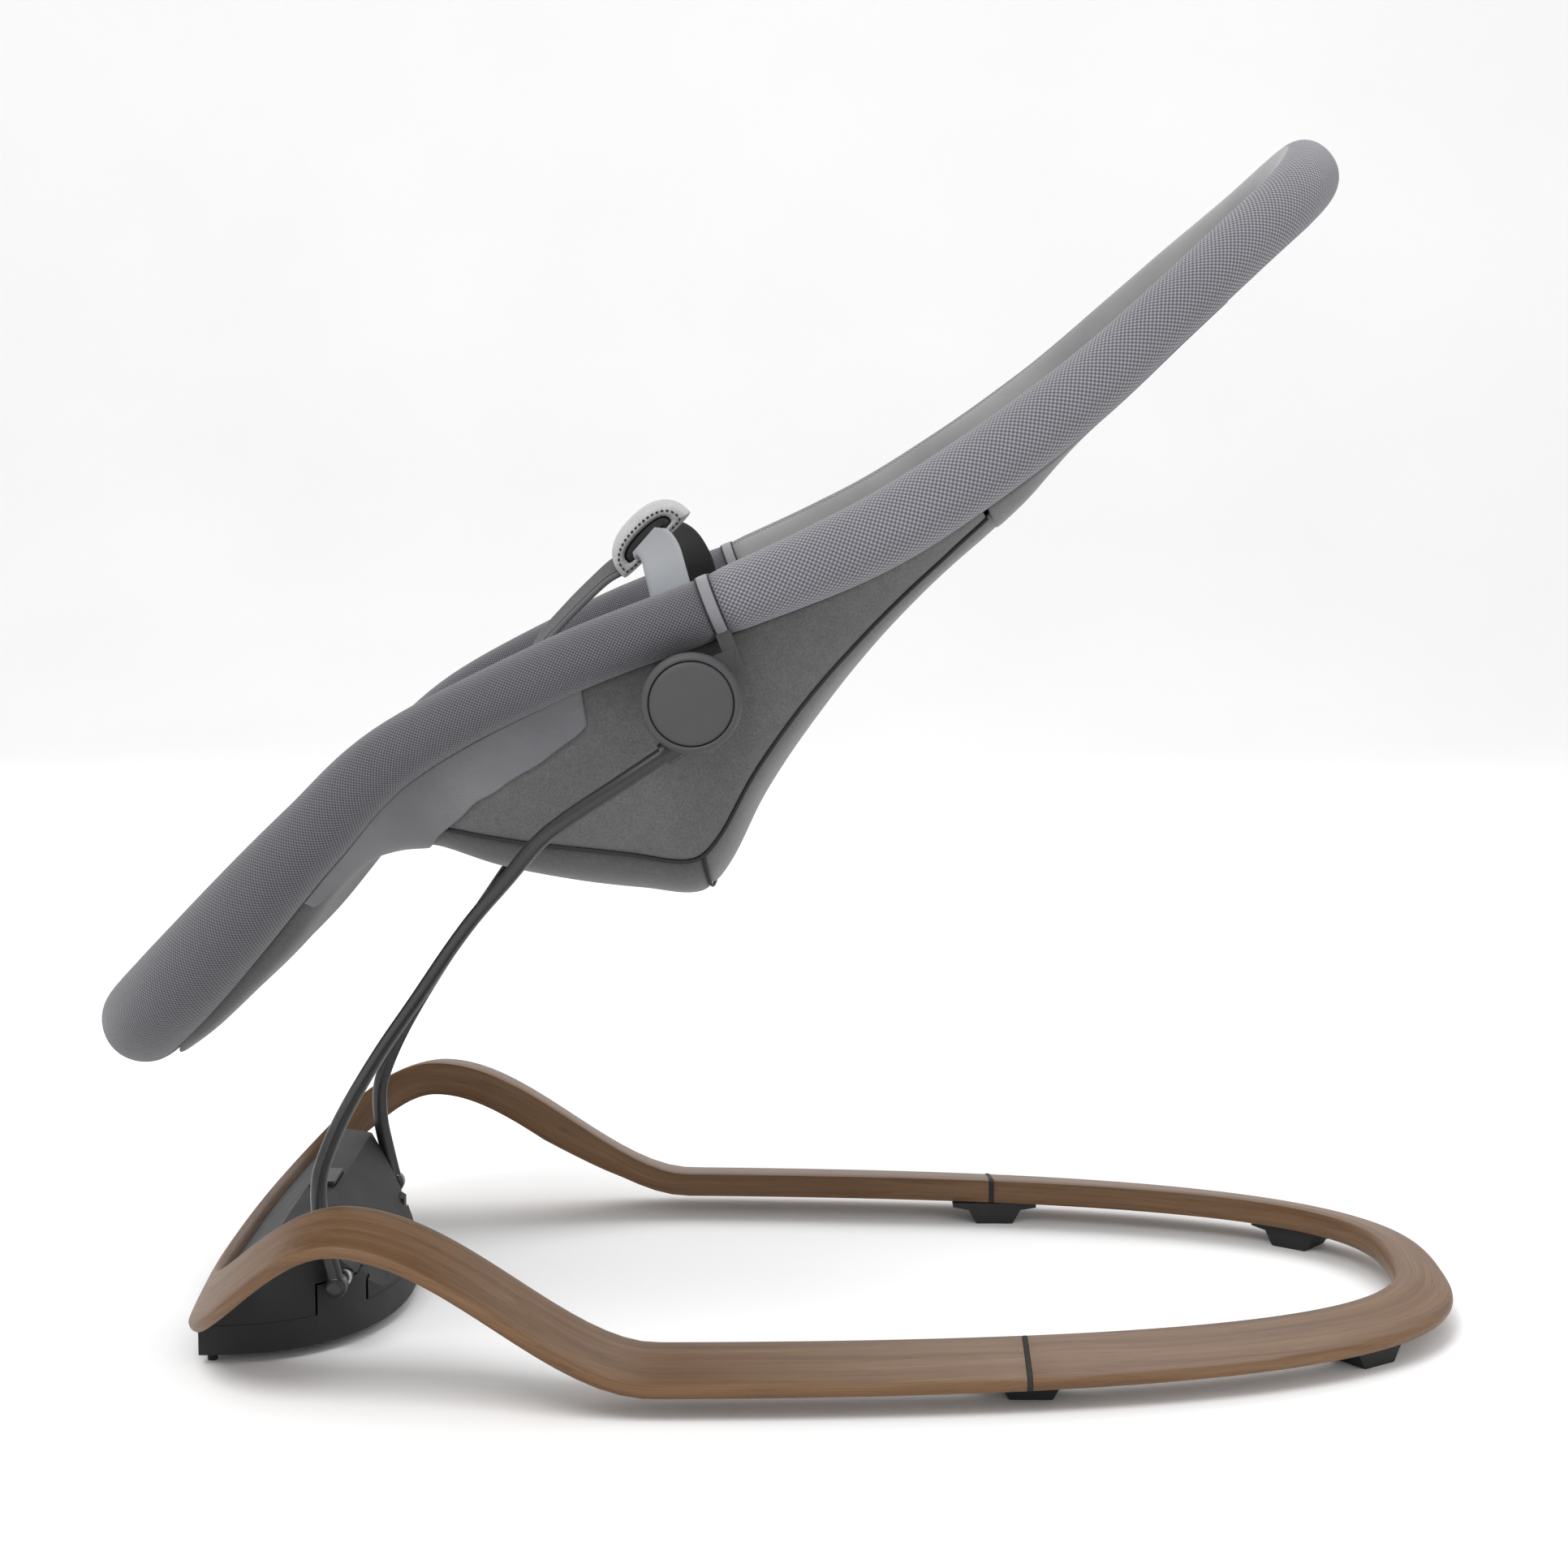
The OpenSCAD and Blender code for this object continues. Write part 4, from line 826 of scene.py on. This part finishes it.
def felt_panel(name, node, us, spans, material, seed, tuck=0.8, slack=0.8, columns=34):
    """Sewn panel of the outer fabric, as a thin closed sheet.

    spans gives its first and last angle at each row. Its edges tuck in where it is sewn, and its middle
    moves in and out a little as cloth does."""
    grid = np.array([fabric_row(u, start, end, columns) for u, (start, end) in zip(us, spans)])
    out = normals_of(grid)
    size = grid.shape[:2]
    for i, j in np.ndindex(*size):
        to_edge = min(np.linalg.norm(grid[i, j] - grid[a, b])
                      for a, b in ((0, j), (size[0] - 1, j), (i, 0), (i, size[1] - 1)))
        free = min(1.0, to_edge / SLACK_REACH)
        sewn = (1 - min(1, to_edge / TUCK_REACH)) ** 2
        moved = slack * free * wrinkle(grid[i, j], WRINKLE_SIZE, seed) - tuck * sewn
        grid[i, j] += out[i, j] * moved
    panel = new_piece(name, grid_mesh(name, grid), material, "seat")
    thicken(panel, FELT_T)
    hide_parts(node)
    return panel


def mirrored(spans, side):
    """Spans of the left side, or the same ones on the right side."""
    return spans if side < 0 else [(180 - b, 180 - a) for a, b in spans]


def seam_angle(u):
    return curve_at(SEAM, u)[0]


def build_pod():
    """Felt body under the seat: two sides, a bottom, a back and the flap, with piping on the seams."""
    for word, side in SIDES.items():
        us = np.linspace(SIDE_START_U, SIDE_END_U, 90)
        spans = mirrored([(0.0, seam_angle(u)) for u in us], side)
        felt_panel(f"pod_side_{word}_felt", f"pod_side_{word}", us, spans, FELT,
                   seed=3.0 + side)
        line = []
        for u in np.linspace(SIDE_START_U + 0.05, SIDE_END_U, 110):
            a = seam_angle(u)
            line.append(under_point(u, a if side < 0 else 180 - a, -0.2))
        round_tube(f"pod_piping_{word}", line, PIPING_R, THREAD_DARK, "seat", up=(0, 1, 0), sides=8)
    corner = fabric_row(CORNER_U, seam_angle(CORNER_U), 180 - seam_angle(CORNER_U), 60)
    round_tube("pod_corner_piping", corner, PIPING_R, THREAD_DARK, "seat", up=(1, 0, 0), sides=8)
    wide_panels = [
        # The bottom panel takes the felt with painted shade
        ("bottom", BOTTOM_START_U, CORNER_U - CORNER_GAP_U, 44, FELT_PAINTED_SHADE, POD_BOTTOM_FLAT, 7.0),
        ("back", CORNER_U + CORNER_GAP_U, BACK_END_U, 56, FELT, POD_BACK_FLAT, 9.0)
    ]
    for word, start, end, count, material, flat, seed in wide_panels:
        us = np.linspace(start, end, count)
        spans = [(seam_angle(u), 180 - seam_angle(u)) for u in us]
        felt_panel(f"pod_{word}_felt", f"pod_{word}_panel", us, spans, material,
                   seed=seed, columns=50)
    us = np.linspace(FLAP_START_U, FLAP_END_U, 40)
    spans = [(0.0, 180.0)] * len(us)
    flap = felt_panel("back_flap_felt", "back_flap", us, spans, FELT,
                      seed=11.0, tuck=0.2, columns=60)
    move_out(flap, 0.9)
    for word, side in SIDES.items():
        rim_us = np.linspace(CALF_START_U, FLAP_END_U, 160)
        seam = [under_point(u, 0 if side < 0 else 180, -0.3) for u in rim_us]
        round_tube(f"rim_seam_{word}", seam, SEAM_R, THREAD_DARK, "seat", up=(0, 1, 0), sides=8)


# Edge of the smooth side panel: rim parameter and the angle that it reaches down to
WING = [
    [3.5, 0.3], [3.6, 5], [3.9, 13], [4.2, 20], [4.5, 46], [4.8, 62], [5.0, 50], [5.12, 18], [5.3, 4],
    [5.5, 1.2], [5.8, 0.3], [6.1, 0.02]
]


def build_calf():
    """Felt under the calves and the two smooth side panels that lap over it."""
    us = np.linspace(CALF_START_U, CALF_END_U, 64)
    spans = [(0.0, 180.0)] * len(us)
    # The calf panel takes the felt with painted shade
    felt_panel("calf_felt", "calf_panel", us, spans, FELT_PAINTED_SHADE, seed=13.0, columns=60)
    for word, side in SIDES.items():
        us = np.linspace(WING_START_U, WING_END_U, 80)
        spans = mirrored([(0.0, max(0.02, curve_at(WING, u)[0])) for u in us], side)
        panel = felt_panel(f"side_{word}_knit", f"side_panel_{word}", us, spans, SMOOTH_KNIT,
                           seed=17.0 + side, tuck=0.0, slack=0.3)
        move_out(panel, 1.6)


def move_out(obj, distance):
    """Moves an open grid along its own normals, so that it lies over the cloth under it."""
    normals = [v.normal.copy() for v in obj.data.vertices]
    for vertex, normal in zip(obj.data.vertices, normals):
        vertex.co += normal * distance * MM


def build_sling():
    """Padded inner sling, crowned between its edges and closed softly at its ends."""
    us = np.linspace(SLING_START_U, SLING_END_U, 121)
    angles = np.linspace(0, 180, 56)
    rows = []
    for number, u in enumerate(us):
        x, z, w, radius = rim(u)
        step = rim(u + 0.05) - rim(u - 0.05)
        spread = np.linalg.norm(step[:3]) / np.linalg.norm(step[:2])
        half_w = max(8, w - (radius + 0.6) * spread - SLING_T)
        edge, line = np.array([x, z]), curve_at(SLING_LINE, u)
        under = line + rim_down(u) * SLING_T
        top = np.array([hanging_point(edge, line, half_w, a, SLING_POWER) for a in angles])
        low = np.array([hanging_point(edge, under, half_w + SLING_T, a, SLING_POWER) for a in angles])
        middle = (top + low) / 2
        start = min(1, min(number, len(us) - 1 - number) / 3)
        closed = 1 - math.sqrt(start * (2 - start))
        rows.append(np.concatenate([top + (middle - top) * closed, (low + (middle - low) * closed)[::-1]]))
    sling = new_piece("sling_padded", tube_mesh("sling_padded", rows, 640), SLING, "seat")
    smooth_out(sling)
    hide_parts("seat_sling")


# ---------- Harness ----------

BUCKLE = np.array([-64.0, 0.0, 405.0])
BUCKLE_TURN = math.radians(45)
WEB_W = 20
# Waist strap: x, y and z of its middle, how it leans in radians, and its thickness; it starts as a loop
# round the tongue
WAIST_LINE = [
    [-65, 30, 400.5, 0.86, 6.6], [-64, 46, 401.2, 0.82, 6.2], [-61, 62, 402.5, 0.66, 2.6],
    [-56, 90, 399, 0.45, 1.6], [-52, 120, 392, 0.25, 1.6], [-48, 141, 381, 0.1, 1.6],
    [-46, 150, 366, 0.0, 1.6]
]
# Crotch strap in side view: x, z
CROTCH_LINE = [[-140, 306], [-136, 322], [-127, 345], [-112, 363], [-97, 378], [-88, 386], [-80, 390.5]]
CROTCH_HALF_W = 17
COVER_MIDDLE, COVER_COLUMNS = -3, 72
# Sections of the cover and of the buckle in it: distance from the middle, half-length, top and bottom
COVER_OUTSIDE = [
    [0, 23.5, 14.2, -6.6], [8, 23.5, 13.8, -6.6], [14, 23.3, 12.6, -6.6], [19, 22.8, 11, -6.6],
    [22.6, 22, 9.8, -6.4], [24.8, 20.6, 8.8, -5.8], [26, 18.6, 7.4, -4.8], [25.9, 16.8, 6.2, -3.8],
    [24.6, 15.6, 5.3, -3.1], [22.8, 15, 4.9, -2.8]
]
COVER_INSIDE = [[22.3, 20.6, 8, -5.4], [12, 21.6, 11, -5.6]]
BODY_SECTIONS = [[23.6, 12.6, 3.4, -1.9], [23.4, 14.2, 4.2, -2.5], [22.6, 15.2, 5.2, -3.4], [0, 16, 7, -4]]
COVER_SEAM = [26.1, 19.4, 8, -5.4]


def at_buckle(x, y, z):
    """Point given in the buckle's own length, width and height."""
    c, s = math.cos(BUCKLE_TURN), math.sin(BUCKLE_TURN)
    return BUCKLE + np.array([x * c - z * s, y, x * s + z * c])


def line_points(rows, count):
    last = len(rows) - 1
    return np.array([catmull(rows, last * i / (count - 1)) for i in range(count)])


def band_mesh(name, path, across, half_w, thicknesses, columns=13):
    """Flat tape along a path, with rounded edges."""
    shares = np.linspace(-1, 1, columns)
    rounding = 0.3 + 0.7 * np.sqrt(1 - (np.maximum(np.abs(shares) - 0.9, 0) / 0.1) ** 2)
    rows = []
    for point, t, wide, thickness in zip(path, np.gradient(path, axis=0), across, thicknesses):
        out = unit(np.cross(wide, unit(t)))
        upper = [point + wide * half_w * v + out * thickness / 2 * e for v, e in zip(shares, rounding)]
        lower = [point + wide * half_w * v - out * thickness / 2 * e for v, e in zip(shares, rounding)]
        rows.append(upper + lower[::-1])
    return tube_mesh(name, rows, 4 * half_w)


def build_waist_strap(word, side, material):
    """Webbing that loops round the tongue and runs over to the side of the seat."""
    rows = line_points(WAIST_LINE, 60)
    path = rows[:, :3] * (1, side, 1)
    across = [np.array([math.cos(lean), 0.0, math.sin(lean)]) for lean in rows[:, 3]]
    mesh = band_mesh(f"waist_web_{word}", path, across, WEB_W / 2, rows[:, 4])
    strap = new_piece(f"waist_web_{word}", mesh, material, "seat")
    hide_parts(f"waist_strap_{word}")


def build_tongue(word, side):
    """Flat plastic tongue that reaches from the buckle into the strap's loop."""
    path = np.array([at_buckle(-3, side * y, -2.8) for y in np.linspace(8, 37, 12)])
    lengthwise = unit(at_buckle(1, 0, 0) - at_buckle(0, 0, 0))
    mesh = band_mesh(f"tongue_{word}_plate", path, [lengthwise] * len(path), 8.5, [3.0] * len(path))
    plate = new_piece(f"tongue_{word}_plate", mesh, DARK_PLASTIC, f"tongue_{word}")
    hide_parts(f"tongue_{word}")


def build_crotch_strap():
    """Padded crotch strap with piped edges, a little twisted so that its right edge is the higher one."""
    path = np.array([[x + 1.5, 0.0, z - 0.6] for x, z in line_points(CROTCH_LINE, 50)])
    wide = unit(np.array([0.0, 1.0, 0.26]))
    across = [wide] * len(path)
    mesh = band_mesh("crotch_web", path, across, CROTCH_HALF_W - 1, [3.2] * len(path), columns=17)
    strap = new_piece("crotch_web", mesh, STRAP_BLACK, "seat")
    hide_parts("crotch_strap")
    for word, side in SIDES.items():
        edge = [p + side * (CROTCH_HALF_W - 0.6) * wide for p in path]
        round_tube(f"crotch_piping_{word}", edge, 1.5, STRAP_EDGE, "seat", up=(0, 1, 0))
        seam = [p + side * (CROTCH_HALF_W - 4.5) * wide + np.array([-1.2, 0, 1.2]) for p in path]
        stitch(f"crotch_stitch_{word}", seam, 0.3, 2.8, THREAD_GREY, "seat")


def cover_loop(section, side):
    """Points round the cover at one distance from its middle: round on top and flat below."""
    y, half, top, bottom = section
    base = bottom + 2.5
    loop = []
    for a in np.arange(COVER_COLUMNS) * 2 * math.pi / COVER_COLUMNS:
        c, s = math.cos(a), math.sin(a)
        power, reach = (2.4, top - base) if s >= 0 else (6, base - bottom)
        loop.append(at_buckle(COVER_MIDDLE + half * signed_power(c, 2 / power), side * y,
                              base + reach * signed_power(s, 2 / power)))
    return loop


def build_buckle_cover():
    """Felt cap round the buckle, open at both sides, with a rolled and stitched edge at each opening."""
    rows = [cover_loop(section, LEFT) for section in reversed(COVER_OUTSIDE)]
    rows += [cover_loop(section, RIGHT) for section in COVER_OUTSIDE[1:] + COVER_INSIDE]
    rows += [cover_loop(section, LEFT) for section in reversed(COVER_INSIDE)]
    mesh = tube_mesh("buckle_cover_felt", rows, 130, loop=True)
    cover = new_piece("buckle_cover_felt", mesh, COVER, "seat")
    smooth_out(cover)
    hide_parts("buckle_cover")
    for word, side in SIDES.items():
        seam = cover_loop(COVER_SEAM, side)
        stitch(f"cover_stitch_{word}", [*seam, seam[0]], 0.55, 2.7, THREAD_DARK, "seat",
               share=0.6)


def build_buckle():
    """Body of the buckle in its cover, with a raised bar on each end face."""
    rows = [cover_loop(section, LEFT) for section in BODY_SECTIONS]
    rows += [cover_loop(section, RIGHT) for section in BODY_SECTIONS[-2::-1]]
    mesh = tube_mesh("buckle_shell", rows, 90)
    body = new_piece("buckle_shell", mesh, DARK_PLASTIC, "seat")
    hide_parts("buckle_body")
    for word, side in SIDES.items():
        bar = [at_buckle(x, side * 23.8, -0.4 + 0.05 * x) for x in np.linspace(-14, 8, 12)]
        round_tube(f"buckle_bar_{word}", bar, 0.9, HOUSING_PLASTIC, "seat", up=(0, 1, 0))


# ---------- Scene ----------

# Floor and wall of the studio in millimetres, and the places of its lights and camera in metres
FLOOR_NEAR, FLOOR_FAR, FLOOR_HALF_W = -5000, 2600, 6000
WALL_BEND, WALL_H = 900, 5000
LIGHT_TARGET = (-0.02, 0, 0.3)
CAMERA_PLACE = (0.025, -1.5787, 0.4672)
CAMERA_DOWN, CAMERA_TURN, CAMERA_LENS = 6.958, 0.7935, 70.1


def build_stage():
    """Pale floor that curves up into a pale wall, and soft studio light."""
    profile = [(FLOOR_NEAR, 0), (FLOOR_FAR, 0)]
    for a in np.linspace(0.1, math.pi / 2, 14):
        profile.append((FLOOR_FAR + WALL_BEND * math.sin(a), WALL_BEND * (1 - math.cos(a))))
    profile.append((FLOOR_FAR + WALL_BEND, WALL_H))
    points = [[x, y, z] for y, z in profile for x in (-FLOOR_HALF_W, FLOOR_HALF_W)]
    faces = [[2 * i, 2 * i + 1, 2 * i + 3, 2 * i + 2] for i in range(len(profile) - 1)]
    floor = bpy.data.objects.new("floor", mesh_from("floor", points, faces))
    bpy.context.scene.collection.objects.link(floor)
    look = Look("floor", Roughness=0.9, Specular_IOR_Level=0.1)
    tone = look.ramp(look.noise(look.place(), 3, 2), [(0.3, 0.93), (0.7, 0.95)])
    floor.data.materials.append(look.finish(Base_Color=tone))
    world = bpy.data.worlds.new("studio")
    world.use_nodes = True
    background = world.node_tree.nodes["Background"]
    background.inputs["Color"].default_value = (1, 1, 1, 1)
    background.inputs["Strength"].default_value = 0.85
    bpy.context.scene.world = world
    bpy.context.scene.view_settings.view_transform = "Standard"
    add_light("key", (-0.7, -1.3, 2.0), 1.3, 30)
    add_light("fill", (1.5, -1.6, 0.9), 1.6, 7)
    add_light("back", (0.2, 1.3, 1.9), 1.8, 22)


def add_light(name, place, size, power):
    data = bpy.data.lights.new(name, "AREA")
    data.shape = "DISK"
    data.size = size
    data.energy = power
    light = bpy.data.objects.new(name, data)
    bpy.context.scene.collection.objects.link(light)
    light.location = place
    light.rotation_euler = (Vector(LIGHT_TARGET) - Vector(place)).to_track_quat("-Z", "Y").to_euler()


def build_camera():
    data = bpy.data.cameras.new("camera")
    data.lens = CAMERA_LENS
    data.sensor_width = 36
    camera = bpy.data.objects.new("camera", data)
    bpy.context.scene.collection.objects.link(camera)
    camera.location = CAMERA_PLACE
    camera.rotation_euler = (math.radians(90 - CAMERA_DOWN), 0, math.radians(CAMERA_TURN))
    bpy.context.scene.camera = camera


# Material and width of the softened edges for the CAD nodes that show, by the start of their names
NODE_LOOKS = {
    "joint_collar": (RUBBER, 0.3), "mid_foot": (HOUSING_PLASTIC, 0.7), "rear_foot": (HOUSING_PLASTIC, 0.7),
    "front_foot": (RUBBER, 0.4), "housing": (HOUSING_PLASTIC, 1.1),
    "pivot_bush": (STEEL, 0.3), "foot_screws": (STEEL, 0.2), "latch_spring": (STEEL, 0.0),
    "fold_button": (DARK_PLASTIC, 0.8), "pivot_rod": (TUBE_PAINT, 0.3), "lock_cam": (STEEL, 0.3),
    "leg_hub": (TUBE_PAINT, 0.7), "button_spring": (STEEL, 0.0), "hub_bracket": (HUB_PLASTIC, 0.8),
    "hub_axle": (STEEL, 0.3), "frame_tube": (STEEL, 0.0), "buckle_button": (DARK_PLASTIC, 0.6)
}


def dress_cad_nodes():
    """Gives each CAD node that still shows its material and softened edges."""
    for name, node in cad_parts.items():
        key = next((k for k in NODE_LOOKS if name.startswith(k)), None)
        if key is None or node.hide_render:
            continue
        material, bevel = NODE_LOOKS[key]
        node.data.materials.clear()
        node.data.materials.append(material)
        if bevel:
            soft_edges(node, bevel)


build_stage()
build_camera()
build_base()
for word, side in SIDES.items():
    build_leg(word, side)
    build_hub(word, side)
    build_band(word, side)
build_rim_pad("upper", LAST_ROW, KNIT_LIGHT, KNIT_ROW, 2.6, LINING)
build_rim_pad("lower", 0, KNIT_DARK, FINE_KNIT_ROW, 0.6)
build_pod()
build_calf()
build_sling()
build_waist_strap("left", LEFT, STRAP_GREY)
build_waist_strap("right", RIGHT, STRAP_BLACK)
build_tongue("left", LEFT)
build_tongue("right", RIGHT)
build_crotch_strap()
build_buckle_cover()
build_buckle()
dress_cad_nodes()
